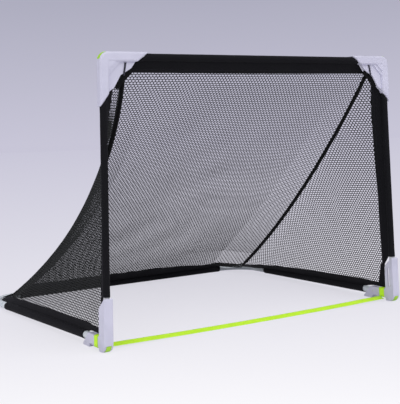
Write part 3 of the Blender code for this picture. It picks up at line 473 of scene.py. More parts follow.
def finishPiece(name, shape, finishName, body, replaced, wall=0.0):
    mesh = bpy.data.meshes.new(name)
    shape.to_mesh(mesh)
    shape.free()
    mesh.materials.append(finishes[finishName])
    mesh.shade_smooth()
    piece = bpy.data.objects.new(name, mesh)
    bpy.context.scene.collection.objects.link(piece)
    if wall:
        step = piece.modifiers.new("cloth thickness", "SOLIDIFY")
        step.thickness = wall
        step.offset = 0
        step.use_even_offset = False
    if body:
        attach(piece, body)
    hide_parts(*replaced)
    return piece


foldSet = {"hemsBehind": 0.040, "pivotReach": 0.001, "leastAngle": 0.05}     # the hems stand behind the posts


def foldShare(point):
    # weight of the fold: 0 on the floor hoop, 1 on the posts, by the angle round the pivot line
    y, z = point.y - postY, point.z - goal["pivotHeight"]
    reach = math.hypot(y, z)
    if reach < foldSet["pivotReach"]:
        return 0.0
    postAngle = math.pi / 2 - math.asin(min(foldSet["hemsBehind"] / reach, 1.0))
    return min(max(math.atan2(z, y) / max(postAngle, foldSet["leastAngle"]), 0.0), 1.0)


def bendWithFold(piece):
    points = piece.data.vertices
    kept = [point.co.copy() for point in points]
    for point, place in zip(points, kept):
        point.co = (0, 0, 0.5 - math.sin(math.asin(1 - 2 * foldShare(place)) / 3))
    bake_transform(piece)
    for point, place in zip(points, kept):
        point.co = place


# Sleeves that wrap the tubes.
sleeveSet = {
    "around": 28, "stepLength": 0.012, "wall": 0.0010, "skin": 0.0001, "looseness": 0.0005, "pull": 0.0007,
    "hem": 0.0004, "hemWidth": 0.013, "topGap": 0.0012, "footGap": 0.003, "creaseSize": 0.028,
    "creaseReach": 0.03, "pullFocus": 8,
}


def makeSleeve(name, start, end, radius, up, towards, slants, body, replaced, restsOn, seed):
    # up is the side that a slanted end stands out on, towards is the side that the net pulls on
    axis = (end - start).normalized()
    up = (up - axis * up.dot(axis)).normalized()
    sideways = axis.cross(up)
    towards = (towards - axis * towards.dot(axis)).normalized()
    length = (end - start).length
    steps = max(12, int(length / sleeveSet["stepLength"]))
    size = (math.tau * radius, length)
    inside = radius - sleeveSet["wall"] / 2 - sleeveSet["skin"]

    def place(u, v):
        angle = math.tau * u
        out = up * math.cos(angle) + sideways * math.sin(angle)
        crease = start + axis * length * v + out * sleeveSet["creaseReach"]
        slack = 0.5 + 0.5 * ripple(crease, sleeveSet["creaseSize"], seed)
        pulled = max(0.0, out.dot(towards)) ** sleeveSet["pullFocus"] * sleeveSet["pull"]
        hem = sleeveSet["hem"] if min(v, 1 - v) * length < sleeveSet["hemWidth"] else 0.0
        reach = inside + slack * sleeveSet["looseness"] + pulled + hem
        slant = (slants[0] * (1 - v) + slants[1] * v) * up.dot(out) * reach
        return start + axis * (length * v + slant) + out * reach

    cloth = bendCloth(sleeveSet["around"], steps, place, size)
    closeCloth(cloth, False)
    piece = finishPiece(name, cloth, "bandCloth", body, replaced, sleeveSet["wall"])


def makeSleeves():
    slope = goal["armSlant"] / goal["rim"]
    armMiddle = goal["armLength"] - goal["armSlant"] / 2
    reach = goal["width"] / 2 - leanAt(crossbarZ) - armMiddle - sleeveSet["topGap"]
    upwards = Vector((0, 0, 1))
    makeSleeve(
        "crossbar_sleeve_cloth", Vector((-reach, postY, crossbarZ)), Vector((reach, postY, crossbarZ)),
        sleeveRadius, upwards, crossbarOut, (slope, -slope), "front_frame", ("crossbar_sleeve",),
        ["crossbar_tube"], 1,
    )
    low = goal["armLength"] + sleeveSet["footGap"]
    high = goal["height"] - armMiddle - sleeveSet["topGap"]
    for word, side in sides:
        ends = [Vector((side * (postX - leanAt(z)), postY, z)) for z in (low, high)]
        makeSleeve(
            f"{word}_post_sleeve_cloth", *ends, sleeveRadius, Vector((side, 0, 0)),
            Vector((-side * 0.6, 1, 0)), (0, -slope), "front_frame", (f"{word}_post_sleeve",),
            [f"{word}_post_tube"], 2 + side,
        )
        makeSleeve(
            f"{word}_floor_sleeve_cloth", hoopPoint(sideStart, side), hoopPoint(sideEnd, side),
            hoopSleeveRadius, upwards, Vector((-side * 0.8, 0, 1)), (0, 0), "base",
            (f"{word}_floor_sleeve",), [f"{word}_floor_tube"], 5 + side,
        )
    makeSleeve(
        "rear_sleeve_cloth", Vector((-rearHalf, rearY, rearZ)), Vector((rearHalf, rearY, rearZ)),
        hoopSleeveRadius, upwards, Vector((0, -0.8, 0.6)), (0, 0), "base", ("rear_sleeve",), ["rear_tube"], 8,
    )


makeSleeves()
print("sleeves wrapped")

# Bands: two layers of cloth beside each sleeve, with a folded hem and a corded edge where the net is sewn on.
# One half of a band's section: share of its width, half thickness.
bandSection = (
    (0.00, 0.0006), (0.02, 0.0010), (0.20, 0.0009), (0.40, 0.0009), (0.60, 0.0009), (0.68, 0.0010),
    (0.72, 0.0014), (0.86, 0.0014), (0.90, 0.0011), (0.925, 0.0016), (0.95, 0.0020), (0.975, 0.0016),
    (1.00, 0.0003),
)
bandSet = {
    "stepLength": 0.012, "lookAhead": 0.01, "calmEnds": 12, "stitchFrom": 0.93, "waves": (0.045, 0.016),
    "post": 0.036, "crossbar": 0.040, "floor": 0.025, "foot": 0.016, "rear": 0.042,    # widths
    "flap": 0.0475,             # how far the rear band's far edge stops short of its near one
    "gap": 0.0004,              # from a sleeve to its band
}


def makeBand(name, low, high, body, replaced, restsOn, seed, sag=0.0, rumple=0.0006, folds=()):
    # low runs beside the sleeve and high is the net's seam; a fold has a place, spread, height and lean
    length = lineLength(high)
    width = sum((a - b).length for a, b in zip(low, high)) / len(low)
    steps = max(24, int(length / bandSet["stepLength"]))
    half = len(bandSection)
    turns = half * 2

    def place(u, v):
        k = round(u * turns) % turns
        share, thick = bandSection[k] if k < half else bandSection[turns - 1 - k]
        thick *= 1 if k < half else -1
        stretch, part = stretchAt(high, v)
        inner, outer = (edge[stretch].lerp(edge[stretch + 1], part) for edge in (low, high))
        ahead = alongLine(high, v + bandSet["lookAhead"]) - alongLine(high, v - bandSet["lookAhead"])
        out = (outer - inner).normalized()
        normal = ahead.cross(out).normalized()
        spot = inner.lerp(outer, share)
        ends = min(1.0, min(v, 1 - v) * bandSet["calmEnds"])
        large, small = (ripple(spot, size, seed) for size in bandSet["waves"])
        wave = large * rumple * share * 2 + small * rumple * 0.4
        lift = -sag * share * share * (1 - (2 * v - 1) ** 2)
        for centre, spread, tall, lean in folds:
            near = math.exp(-((v * length - centre) / spread) ** 2)
            lift += tall * near * share
            wave += lean * near * share
        return spot + normal * (thick + wave * ends) + out * lift

    def hem(u, v):
        k = u * turns
        share = bandSection[min(int(k), half - 1) if k < half else max(turns - 1 - int(k), 0)][0]
        return (bandSet["stitchFrom"] - share) * width, v * length

    cloth = bendCloth(turns, steps, place, (2 * width, length), hem)
    closeCloth(cloth, True)
    piece = finishPiece(name, cloth, "bandCloth", body, replaced)
    if body is None:
        bendWithFold(piece)
    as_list(restsOn)
    return piece


def seamPoint(middle, axis, side, reach):
    # from a post (axis 2) or floor tube (axis 1) towards the rib at the same height or depth
    towards = ribWhere(middle[axis], axis, side) - middle
    towards[axis] = 0
    return middle + towards.normalized() * reach


bracketWeb = {"shoulder": (0.106, 0.049), "notch": 0.070}
webSlope = (bracketWeb["shoulder"][0] - armEnd) / (bracketWeb["shoulder"][1] - goal["rim"])
# the far edge of a post band runs down along the foot bracket's web, and both go on behind the top one's
postBandSet = {"nearStart": 0.008, "farStart": 0.122, "nearEnd": -0.002, "webDepth": -0.024, "farEnd": 0.015}
floorBandSet = {
    "overlap": 0.0020, "bendTurns": (-8, 16, 31, 46), "tip": (0.013, 0.014, -0.005),
    "armStart": 0.0485, "armTop": 0.0473,       # over the bracket's arm, up to the post
}
crossbarBandSet = {"behindWeb": 0.004, "flare": 0.2}
rearBandSet = {
    "inset": 0.002, "hemTurns": (71, 53), "tip": (-0.004, 0.010, -0.001), "rumple": 0.0022,
    "dip": (0.98, 0.17, -0.025, -0.001),        # the band lies lower towards the right
}


def postBandEdges(side):
    bottom, top = goal["armLength"] + postBandSet["nearStart"], goal["height"] - armEnd
    nearTop = top + postBandSet["nearEnd"]
    farTop = top + webSlope * postBandSet["webDepth"] + postBandSet["farEnd"]
    spans = ((bottom, nearTop, bandSet["gap"]), (postBandSet["farStart"], farTop, bandSet["post"]))
    rows = []
    for low, high, reach in spans:
        heights = [low + (high - low) * k / 8 for k in range(9)]
        line = [Vector((side * (postX - leanAt(z)), postY, z)) for z in heights]
        rows.append([seamPoint(middle, 2, side, sleeveRadius + reach) for middle in line])
    return rows


def floorBandEdges(side):
    inner, outer = hoopSleeveRadius - floorBandSet["overlap"], hoopSleeveRadius + bandSet["floor"]
    line = [hoopPoint(sideStart + (sideEnd - sideStart) * k / 6, side) for k in range(7)]
    low = [seamPoint(middle, 1, side, inner) for middle in line]
    high = [seamPoint(middle, 1, side, outer) for middle in line]
    x, y, z = floorBandSet["tip"]
    tip = ribPoint(goal["ribEnd"], side) + Vector((side * x, y, z))
    leaving = high[-1]
    for k, degrees in enumerate(floorBandSet["bendTurns"]):
        low.append(bendInside(degrees, side))
        high.append(leaving.lerp(tip, (k + 1) / len(floorBandSet["bendTurns"])))
    places = (front + floorBandSet["armStart"], front + armEnd)
    bottom, top = floorBandSet["armTop"], floorBandSet["armTop"] + bandSet["foot"]
    low = [Vector((low[0].x, y, bottom)) for y in places] + low
    high = [Vector((high[0].x, y, top)) for y in places] + high
    return low, high


def crossbarBandEdges():
    rows = []
    for reach in (sleeveRadius + bandSet["gap"], sleeveRadius + bandSet["crossbar"]):
        centre = Vector((0, postY, crossbarZ)) + crossbarOut * reach
        below = goal["rim"] / 2 - crossbarOut.z * reach
        inset = armEnd + webSlope * (below - goal["rim"]) - crossbarBandSet["behindWeb"]
        flare = crossbarBandSet["flare"] * (reach - sleeveRadius)
        half = goal["width"] / 2 - leanAt(centre.z) - inset + flare
        rows.append([centre + Vector((-half + 2 * half * k / 8, 0, 0)) for k in range(9)])
    return rows


def rearBandEdges():
    shares = [-1 + 2 * k / 6 for k in range(7)]
    spans = ((rearHalf - rearBandSet["inset"], bandSet["gap"]), (rearHalf - bandSet["flap"], bandSet["rear"]))
    rows = []
    for half, reach in spans:
        offset = rearOut * (hoopSleeveRadius + reach)
        rows.append([Vector((half * share, rearY, rearZ)) + offset for share in shares])
    low, high = rows
    x, y, z = rearBandSet["tip"]
    for side in (-1, 1):
        tip = ribPoint(goal["ribEnd"], side) + Vector((side * x, y, z))
        flap = [high[0 if side < 0 else -1].lerp(tip, 0.5), tip]
        hem = [bendInside(degrees, side) for degrees in rearBandSet["hemTurns"]]
        low = hem[::-1] + low if side < 0 else low + hem
        high = flap[::-1] + high if side < 0 else high + flap
    return low, high


def makeBands():
    makeBand(
        "crossbar_band_cloth", *crossbarBandEdges(), "front_frame", ("crossbar_border",),
        ["crossbar_sleeve_cloth"], 11, sag=-0.002,
    )
    makeBand(
        "rear_band_cloth", *rearBandEdges(), "base", ("rear_border",), ["rear_sleeve_cloth"], 12,
        rumple=rearBandSet["rumple"],
        folds=((0.36, 0.05, 0.003, 0.002), (0.72, 0.045, 0.007, 0.003), rearBandSet["dip"]),
    )
    for word, side in sides:
        postBand = makeBand(
            f"{word}_post_band_cloth", *postBandEdges(side), "front_frame", (f"{word}_post_border",),
            [f"{word}_post_sleeve_cloth"], 13 + side,
        )
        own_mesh(postBand)
        floorBand = makeBand(
            f"{word}_floor_band_cloth", *floorBandEdges(side), "base", (f"{word}_floor_border",),
            [f"{word}_floor_sleeve_cloth"], 17 + side, sag=-0.002,
        )
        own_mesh(floorBand)


makeBands()
print("bands sewn")

# Rib tapes: binding over the seam where back net and side net meet, and a flat tongue that runs on over the
# seam between the two bands, to the bend of the hoop.
tapeSet = {
    "width": 0.0160, "thick": 0.0135, "around": 16, "steps": 96, "topAt": 0.004, "roundness": 0.7,
    "facing": (0.80, 0.60), "pucker": 0.0005, "puckerSize": 0.012, "wander": 0.0006, "wanderSize": 0.03,
    "seamTurn": 49.5, "seamHeight": 0.0030, "leaving": (0.0045, 0.012),
    "tongueStart": 0.03, "tongueEase": 0.05, "tongueWider": 0.4, "tongueThinner": 0.72,
}


def makeRibTape(word, side):
    look = tapeSet
    start, end = look["topAt"], goal["ribEnd"]
    line = [ribPoint(start + (end - start) * k / 60, side) for k in range(61)]
    ribLength = lineLength(line)
    seam = bendInside(look["seamTurn"], side) + Vector((0, 0, look["seamHeight"]))
    leaving = line[-1] + Vector((side * look["leaving"][0], look["leaving"][1], 0))
    line += [leaving.lerp(seam, k / 6) for k in range(7)]
    length = lineLength(line)

    def place(u, v):
        spot = alongLine(line, v)
        ahead = (alongLine(line, v + 0.01) - alongLine(line, v - 0.01)).normalized()
        flat = Vector((-side * look["facing"][0], 0, 0)) + Vector((0, ahead.z, -ahead.y)) * look["facing"][1]
        flat = (flat - ahead * flat.dot(ahead)).normalized()
        tongue = min(max((v * length - ribLength + look["tongueStart"]) / look["tongueEase"], 0.0), 1.0)
        level = Vector((-ahead.y, ahead.x, 0)) * side
        flat = flat.lerp(level, tongue).normalized()
        normal = ahead.cross(flat)
        across, up = math.cos(math.tau * u), math.sin(math.tau * u)
        wide = math.copysign(abs(across) ** look["roundness"], across) * look["width"] / 2
        wide *= 1 + look["tongueWider"] * tongue
        tall = math.copysign(abs(up) ** look["roundness"], up) * look["thick"] / 2
        tall *= 1 - look["tongueThinner"] * tongue
        pucker = ripple(spot, look["puckerSize"], 31) * look["pucker"]
        wander = ripple(spot, look["wanderSize"], 33) * look["wander"]
        return spot + flat * (wide + pucker) + normal * (tall + wander)

    def hem(u, v):
        off = abs(math.cos(math.tau * u)) * look["width"] / 2
        return look["width"] / 2 - off, v * length

    cloth = bendCloth(look["around"], look["steps"], place, (look["width"] * 2, length), hem)
    closeCloth(cloth, True)
    piece = finishPiece(f"{word}_rib_tape", cloth, "tapeCloth", None, (f"{word}_net_rib",))
    bendWithFold(piece)


# Nets: a knitted hexagon mesh, cut to its panel and hung on it.
netSet = {
    "cellWide": 0.0120, "cellTall": 0.0080, "strand": 0.0028, "sideStrand": 0.0032, "crest": 0.0018,
    "zigzag": 0.17, "cutShare": 0.58, "leastHole": 1.2e-5,
    "reach": 0.0040,            # a cut edge lies this far from the rib's middle, inside the tape
    "seam": 0.0012,             # and this far inside a band's edge
    "bulge": 0.045, "slack": 0.006, "slackSize": 0.16, "sideSlack": 0.0015, "sideSlackSize": 0.11,
    "margins": (0.008, 0.012),  # of knit round the cut, before what lies off it goes
}
sideNetSet = {
    "across": 28, "tall": 48, "cornerAhead": 0.006,
    "besideIn": 0.001, "besideHeight": 0.112,       # a point of its front edge behind the foot bracket
}
# the side nets' front hem, from the floor band up behind the foot bracket to the post band
netHemSet = {"bottom": 0.054, "rise": 0.084, "behind": 0.048, "width": 0.040, "taper": 0.020}


def knitNet(name, low, high, place, inside, strand, replaced):
    # low and high are the corners of the flat cut; place hangs a flat point, inside says if it is on the cut
    wide, tall = netSet["cellWide"] / 2, netSet["cellTall"]
    columns = int((high[0] - low[0]) / wide) // 2 * 2
    rows = int((high[1] - low[1]) / tall)
    knit = bmesh.new()
    bmesh.ops.create_grid(knit, x_segments=columns, y_segments=rows, size=0.5)
    cellOf = {}
    for point in knit.verts:
        i, j = round((point.co.x + 0.5) * columns), round((point.co.y + 0.5) * rows)
        cellOf[point] = (i, j)
        shift = tall * netSet["zigzag"] * (1 if (i + j) % 2 == 0 else -1)
        point.co = (low[0] + i * wide, low[1] + j * tall + shift, 0)
    # without every other upright, the grid's cells join into hexagons
    loose = []
    for edge in knit.edges:
        (i, j), (k, m) = cellOf[edge.verts[0]], cellOf[edge.verts[1]]
        if i == k and (i + min(j, m)) % 2 == 1 and not edge.is_boundary:
            loose.append(edge)
    bmesh.ops.dissolve_edges(knit, edges=loose, use_verts=False)
    away = [face for face in knit.faces if not any(inside(point.co.x, point.co.y) for point in face.verts)]
    bmesh.ops.delete(knit, geom=away, context="FACES")
    for point in knit.verts:
        point.co = place(point.co.x, point.co.y)
    thin = [face for face in knit.faces if face.calc_area() < netSet["leastHole"]]
    bmesh.ops.delete(knit, geom=thin, context="FACES")
    knit.normal_update()
    crests = list(knit.verts)
    normals = [point.normal.copy() for point in crests]
    holes = list(knit.faces)
    bmesh.ops.inset_individual(
        knit, faces=holes, thickness=strand * netSet["cutShare"], use_even_offset=False,
    )
    bmesh.ops.delete(knit, geom=holes, context="FACES_ONLY")
    for point, normal in zip(crests, normals):
        point.co += normal * netSet["crest"]
    piece = finishPiece(name, knit, "netYarn", None, replaced)
    print(name, "knitted,", len(piece.data.polygons), "faces")
    bendWithFold(piece)


# where the back net is sewn on
crossbarHem = Vector((0, postY, crossbarZ))
crossbarHem += crossbarOut * (sleeveRadius + bandSet["crossbar"] - netSet["seam"])
rearHem = Vector((0, rearY, rearZ)) + rearOut * (hoopSleeveRadius + bandSet["rear"] - netSet["seam"])


def backEdge(v, side):
    # the back net's side, from the rear corner (0) up to the crossbar hem (1)
    t = tapeSet["topAt"] + (goal["ribEnd"] - tapeSet["topAt"]) * (1 - v)
    spot = ribPoint(t, side) - Vector((side * netSet["reach"], 0, 0))
    step = 1 / 30
    if v > 1 - step:
        end = Vector((spot.x, crossbarHem.y, crossbarHem.z))
        spot = end.lerp(spot, (1 - v) / step)
    return spot


def makeBackNet():
    samples = 240
    line = [backEdge(k / samples, 1) for k in range(samples + 1)]
    reached = [0.0]
    for a, b in zip(line, line[1:]):
        reached.append(reached[-1] + math.hypot(b.y - a.y, b.z - a.z))
    tall = reached[-1]
    widest = max(point.x for point in line)

    def shareAt(s):
        s = min(max(s, 0.0), tall)
        k = min(int(s / tall * samples), samples - 1)
        while reached[k + 1] < s and k < samples - 1:
            k += 1
        while reached[k] > s and k > 0:
            k -= 1
        return (k + (s - reached[k]) / max(reached[k + 1] - reached[k], 1e-9)) / samples

    corner = backEdge(0, 1)
    flapStart = rearHalf - bandSet["flap"]
    behind = Vector((0, rearHem.y - corner.y, rearHem.z - corner.z))
    dipAt, dipSpread, dipHeight, _ = rearBandSet["dip"]

    def place(x, s):
        v = shareAt(s)
        edge = backEdge(v, 1)
        x = min(max(x, -edge.x), edge.x)
        u = (x / edge.x + 1) / 2
        hollow = math.sin(math.pi * u) * math.sin(math.pi * v)
        spot = Vector((x, edge.y, edge.z)) + Vector((0, 1, 1)).normalized() * netSet["bulge"] * hollow
        # the lower edge runs back from each corner to the rear band, and that fades out up the net
        reach = min(max((1 - abs(x) / edge.x) / (1 - flapStart / corner.x), 0.0), 1.0)
        spot += behind * reach * (1 - v)
        along = (x + rearHalf - dipAt) / dipSpread
        spot += rearOut * dipHeight * math.exp(-along ** 2) * max(1 - v * 10, 0.0)
        return spot + Vector((0, 0.6, 0.8)) * ripple(spot, netSet["slackSize"], 41) * netSet["slack"] * hollow

    def inside(x, s):
        return 0 <= s <= tall and abs(x) < backEdge(shareAt(s), 1).x

    middleLength = lineLength([place(0.0, tall * k / 60) for k in range(61)])
    small, large = netSet["margins"]
    knitNet(
        "back_net_knit", (-widest - large, -small), (widest + large, tall + small), place, inside,
        netSet["strand"], ("back_net",),
    )


def makeNetHem(word, side, corner):
    low, high = [], []
    for k in range(9):
        height = netHemSet["bottom"] + netHemSet["rise"] * k / 8
        x = corner.x - side * (leanAt(height) - leanAt(corner.z))
        near = front + netHemSet["behind"]
        low.append(Vector((x, near, height)))
        high.append(Vector((x, near + netHemSet["width"] - netHemSet["taper"] * k / 8, height)))
    makeBand(
        f"{word}_net_hem", low, high, None, (f"{word}_side_net",), [f"{word}_floor_band_cloth"], 21 + side,
        rumple=0.0003,
    )


def makeSideNet(word, side):
    postHigh, floorHigh = postBandEdges(side)[1], floorBandEdges(side)[1]
    corner = floorHigh[0] - Vector((0, sideNetSet["cornerAhead"], 0))
    beside = Vector((corner.x - side * sideNetSet["besideIn"], corner.y, sideNetSet["besideHeight"]))
    leftLine = [corner, beside] + postHigh

    def ribEdge(v):
        t = goal["ribEnd"] + (tapeSet["topAt"] - goal["ribEnd"]) * v
        tangent = (ribPoint(t + 0.01, side) - ribPoint(t - 0.01, side)).normalized()
        inwards = Vector((0, tangent.z, -tangent.y)).normalized()
        return ribPoint(t, side) + inwards * netSet["reach"] * 0.5

    bottomLine = [corner] + floorHigh[1:] + [ribEdge(0)]
    across, tall = sideNetSet["across"], sideNetSet["tall"]
    panel = bmesh.new()
    bmesh.ops.create_grid(panel, x_segments=across, y_segments=tall, size=0.5)
    hung = {}
    for point in panel.verts:
        u, v = point.co.x + 0.5, point.co.y + 0.5
        place = coons(
            u, v, lambda s: alongLine(bottomLine, s), lambda s: leftLine[-1].lerp(ribEdge(1), s),
            lambda s: alongLine(leftLine, s), ribEdge,
        )
        hung[round(u * across), round(v * tall)] = (point, place)
    # the panel laid flat: each row keeps its heights and its length on from the post
    for row in range(tall + 1):
        reached = hung[0, row][1].y - front
        for column in range(across + 1):
            point, spot = hung[column, row]
            if column > 0:
                before = hung[column - 1, row][1]
                reached += math.hypot(spot.x - before.x, spot.y - before.y)
            point.co = (reached, spot.z, 0)
    spots = {point.index: spot for point, spot in hung.values()}
    bmesh.ops.triangulate(panel, faces=panel.faces)
    panel.faces.ensure_lookup_table()
    tree = BVHTree.FromBMesh(panel)
    outline = [(point.co.x, point.co.y) for point in panel.verts]
    lows = [min(point[k] for point in outline) for k in range(2)]
    highs = [max(point[k] for point in outline) for k in range(2)]

    def hang(a, b):
        hit, _, index, _ = tree.find_nearest(Vector((a, b, 0)))
        corners = panel.faces[index].verts
        flatCorners, hungCorners = [point.co for point in corners], [spots[point.index] for point in corners]
        spot = barycentric_transform(hit, *flatCorners, *hungCorners)
        slack = ripple(spot, netSet["sideSlackSize"], 47 + side) * netSet["sideSlack"]
        return spot + Vector((side, 0, 0)) * slack

    makeNetHem(word, side, corner)
    small, large = netSet["margins"]
    knitNet(
        f"{word}_side_net_knit", [low - small for low in lows], [high + large for high in highs], hang,
        lambda a, b: tree.find_nearest(Vector((a, b, 0)))[3] < 1e-6, netSet["sideStrand"],
        (f"{word}_side_net",),
    )
    panel.free()


for word, side in sides:
    makeRibTape(word, side)
makeBackNet()
for word, side in sides:
    makeSideNet(word, side)
print("nets hung")


# Corner patches, elastic straps and neon webbing.
def cornerPlace(a, b, side, y):
    # a: distance in from the bracket's outer side, b: distance down from its top
    z = goal["height"] - b
    return Vector((side * (goal["width"] / 2 - a - leanAt(z)), y, z))


patchSet = {
    "thick": 0.0022, "clear": 0.0003, "bevel": 0.004, "hem": 0.0035, "softEdge": 0.0006,
    "endWidth": (0.014, 0.006), "middleWidth": 0.015,
}


def makePatch(word, side):
    # a cut piece of cloth behind the bracket's web: its outline filled and given thickness, with a soft edge
    far, near = (distance + patchSet["clear"] for distance in bracketWeb["shoulder"])
    notch = bracketWeb["notch"] + patchSet["clear"]
    across, along = patchSet["endWidth"]
    deep = notch + patchSet["middleWidth"]
    outline = (
        (far, near), (notch, notch), (near, far), (near + across, far + along), (deep, deep),
        (far + along, near + across),
    )
    cloth = bmesh.new()
    weave = cloth.loops.layers.uv.new("weave")
    hems = cloth.loops.layers.uv.new("hems")
    corners = [cloth.verts.new((a, b, 0)) for a, b in outline]
    cloth.faces.new(corners)
    bmesh.ops.bevel(
        cloth, geom=corners, affect="VERTICES", offset=patchSet["bevel"], segments=4, profile=0.5,
        material=-1,
    )
    bmesh.ops.inset_region(cloth, faces=cloth.faces, thickness=patchSet["hem"], use_even_offset=True)
    area = sum(face.calc_area() for face in cloth.faces)
    reaches = [[point.co[k] for point in cloth.verts] for k in range(2)]
    flat = tuple(max(reach) - min(reach) for reach in reaches)
    for face in cloth.faces:
        for corner in face.loops:
            corner[weave].uv = (corner.vert.co.x, corner.vert.co.y)
            edge = any(link.is_boundary for link in corner.vert.link_edges)
            corner[hems].uv = (0.0 if edge else patchSet["hem"], corner.vert.co.x + corner.vert.co.y)
    for point in cloth.verts:
        point.co = cornerPlace(point.co.x, point.co.y, side, postY)
    bmesh.ops.recalc_face_normals(cloth, faces=cloth.faces)
    piece = finishPiece(
        f"{word}_top_patch_cloth", cloth, "tapeCloth", "front_frame", (f"{word}_top_patch",),
        patchSet["thick"],
    )
    step = piece.modifiers.new("soft edge", "BEVEL")
    step.width, step.segments, step.limit_method = patchSet["softEdge"], 2, "ANGLE"


# half of a strap's flat section with rounded selvedges: share of its width, share of its thickness
strapSection = ((-0.5, 0.15), (-0.46, 0.5), (-0.25, 0.5), (0, 0.5), (0.25, 0.5), (0.46, 0.5), (0.5, 0.15))
strapSet = {"stepLength": 0.008, "waveSize": 0.05, "sheetWidth": 0.01}


def strapCloth(name, line, look, widthWay, finishName, body, replaced, wavy=0.0):
    width, length = look["width"], lineLength(line)
    section = strapSection + tuple((a, -b) for a, b in strapSection[::-1])
    turns = len(section)
    steps = max(8, int(length / strapSet["stepLength"]))

    def place(u, v):
        a, b = section[round(u * turns) % turns]
        spot = alongLine(line, v)
        ahead = (alongLine(line, v + 0.5 / steps) - alongLine(line, v - 0.5 / steps)).normalized()
        wideWay = (widthWay - ahead * widthWay.dot(ahead)).normalized()
        normal = ahead.cross(wideWay)
        wave = ripple(spot, strapSet["waveSize"], 61) * wavy
        return spot + wideWay * a * width + normal * (b * look["thick"] + wave)

    def hem(u, v):
        a = section[round(u * turns) % turns][0]
        return (0.5 - abs(a)) * width, v * length

    cloth = bendCloth(turns, steps, place, (width * 2, length), hem)
    closeCloth(cloth, True)
    piece = finishPiece(name, cloth, finishName, body, replaced)


# the elastic comes out of the bracket's slot and lies over its web
elasticSet = {
    "width": 0.0060, "thick": 0.0018, "place": 0.086, "slot": 0.0035, "webFace": 0.009, "clear": 0.0014,
    "bendAt": 0.052,
}
webbingSet = {
    "width": 0.026, "thick": 0.0014, "place": 0.0625, "sag": 0.006, "clear": 0.0010, "archHeight": 0.0115,
    "armHeight": 0.045, "loopGap": 0.0009, "facing": (0, 0.96, 0.27), "wavy": 0.0006,
}


def makeElastic(word, side):
    place, top = elasticSet["place"], goal["rim"] + elasticSet["slot"]
    web = front + elasticSet["webFace"] - elasticSet["clear"]
    route = (
        (place, top - 0.0005, postY - 0.002), (place, top, web + 0.003), (place - 0.0002, top + 0.0008, web),
        (place - 0.003, elasticSet["bendAt"], web), (place - 0.0058, bracketWeb["notch"] + 0.001, web),
    )
    strapCloth(
        f"{word}_elastic_webbing", [cornerPlace(a, b, side, y) for a, b, y in route], elasticSet,
        Vector((1, 0, 0)), "elasticCloth", "front_frame", (f"{word}_elastic_strap",),
    )


def makeNeonLoop(word, side):
    # round the foot bracket's rear arm
    clear = webbingSet["clear"]
    inner, outer = goal["width"] / 2 - goal["rim"] - clear, goal["width"] / 2 + clear
    low, high = webbingSet["archHeight"] - clear, webbingSet["armHeight"] + clear
    ring = [(outer, low), (outer, high), (inner, high), (inner, low), (outer, low)]
    route = []
    for (a, b), (c, d) in zip(ring, ring[1:]):
        for k in range(6):
            x, z = a + (c - a) * k / 6, b + (d - b) * k / 6
            route.append(Vector((side * (x - leanAt(z)), front + webbingSet["place"], z)))
    route.append(route[0].copy())
    strapCloth(
        f"{word}_neon_loop", route, webbingSet, Vector((0, 1, 0)), "neonWebbing", "base",
        (f"{word}_webbing_loop",),
    )


def makeGoalLine():
    height = webbingSet["archHeight"] - webbingSet["clear"]
    reach = goal["width"] / 2 - goal["rim"] - leanAt(height) - webbingSet["thick"] - webbingSet["loopGap"]
    line = []
    for k in range(41):
        x = -reach + 2 * reach * k / 40
        sag = webbingSet["sag"] * (1 - (x / reach) ** 2)
        line.append(Vector((x, front + webbingSet["place"], height - sag)))
    strapCloth(
        "goal_line_strap", line, webbingSet, Vector(webbingSet["facing"]), "neonWebbing", "base",
        ("goal_line_webbing",), wavy=webbingSet["wavy"],
    )


for word, side in sides:
    makePatch(word, side)
    makeElastic(word, side)
    makeNeonLoop(word, side)
makeGoalLine()
print("patches, elastics and webbing added")

# Plain pale floor, sky and soft light. The floor's paint darkens away from the camera, and seen directly it
# is partly its own plain colour, which thins the shadow on it.
studio = {
    "floorRadius": 60, "floorRoughness": 0.9, "nearReach": 2.0, "ownLight": 0.78,
    "floorNear": (0.955, 0.945, 0.98), "floorFar": (0.575, 0.562, 0.68),
    "skyLow": (0.575, 0.562, 0.68), "skyHigh": (0.425, 0.422, 0.525), "skyTop": 0.155,
    "ambientColour": (0.985, 0.99, 1.0), "ambient": 0.50,
    # strength, spread and turn of each lamp, in degrees
    "lamps": {"softKey": (1.38, 50, (38, 0, 25)), "softFill": (1.0, 60, (60, 0, -70))},
}


def seenRays(tree):
    seen = tree.nodes.new("ShaderNodeLightPath")
    direct = mathNode(tree, "MAXIMUM", seen.outputs["Is Camera Ray"], seen.outputs["Is Glossy Ray"])
    return mathNode(tree, "MAXIMUM", direct, seen.outputs["Is Transmission Ray"])


def mixShaders(tree, share, first, second, output):
    both = tree.nodes.new("ShaderNodeMixShader")
    for value, slot in zip((share, first.outputs[0], second.outputs[0]), both.inputs):
        tree.links.new(value, slot)
    tree.links.new(both.outputs[0], tree.nodes[output].inputs["Surface"])


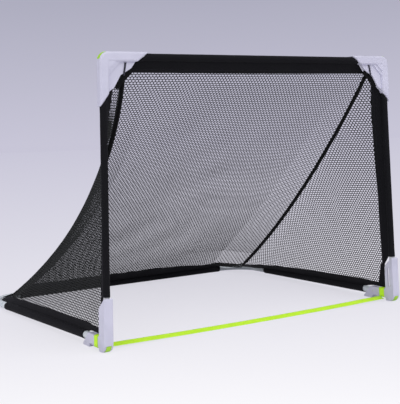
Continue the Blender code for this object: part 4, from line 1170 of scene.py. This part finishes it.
def makeFloor():
    floor = bmesh.new()
    bmesh.ops.create_circle(floor, cap_ends=True, radius=studio["floorRadius"], segments=96)
    mesh = bpy.data.meshes.new("studioFloor")
    floor.to_mesh(mesh)
    floor.free()
    finish, tree, shader = newFinish(
        "floorPaint", studio["floorNear"], studio["floorRoughness"], **{"Specular IOR Level": 0.0},
    )
    away = addNode(tree, "ShaderNodeVectorMath", operation="DISTANCE")
    away.inputs[1].default_value = (cameraSet["place"][0], cameraSet["place"][1], 0)
    tree.links.new(objectPlace(tree), away.inputs[0])
    distance = mathNode(tree, "MAXIMUM", away.outputs["Value"], studio["nearReach"])
    falloff = mathNode(tree, "DIVIDE", studio["nearReach"], distance)
    paint = mixColour(tree, rampValue(tree, falloff, 0.0, 1.0), studio["floorFar"], studio["floorNear"])
    tree.links.new(paint, shader.inputs["Base Color"])
    glow = tree.nodes.new("ShaderNodeEmission")
    tree.links.new(paint, glow.inputs["Color"])
    share = mathNode(tree, "MULTIPLY", seenRays(tree), studio["ownLight"])
    mixShaders(tree, share, shader, glow, "Material Output")
    mesh.materials.append(finish)
    piece = bpy.data.objects.new("studioFloor", mesh)
    bpy.context.scene.collection.objects.link(piece)


def makeSky():
    world = bpy.data.worlds.new("studioSky")
    bpy.context.scene.world = world
    world.use_nodes = True
    tree = world.node_tree
    light = tree.nodes["Background"]
    light.inputs["Color"].default_value = (*studio["ambientColour"], 1)
    light.inputs["Strength"].default_value = studio["ambient"]
    sky = tree.nodes.new("ShaderNodeBackground")
    direction = tree.nodes.new("ShaderNodeTexCoord").outputs["Generated"]
    height = rampValue(tree, splitAxes(tree, direction)["Z"], 0.0, studio["skyTop"])
    tree.links.new(mixColour(tree, height, studio["skyLow"], studio["skyHigh"]), sky.inputs["Color"])
    mixShaders(tree, seenRays(tree), light, sky, "World Output")


def makeLamps():
    for name, (strength, spread, turn) in studio["lamps"].items():
        lamp = bpy.data.lights.new(name, "SUN")
        lamp.energy = strength
        lamp.angle = math.radians(spread)
        lampObject = bpy.data.objects.new(name, lamp)
        lampObject.rotation_euler = [math.radians(angle) for angle in turn]
        bpy.context.scene.collection.objects.link(lampObject)


makeFloor()
makeSky()
makeLamps()
bpy.context.scene.view_settings.view_transform = "Standard"
print("studio lit")
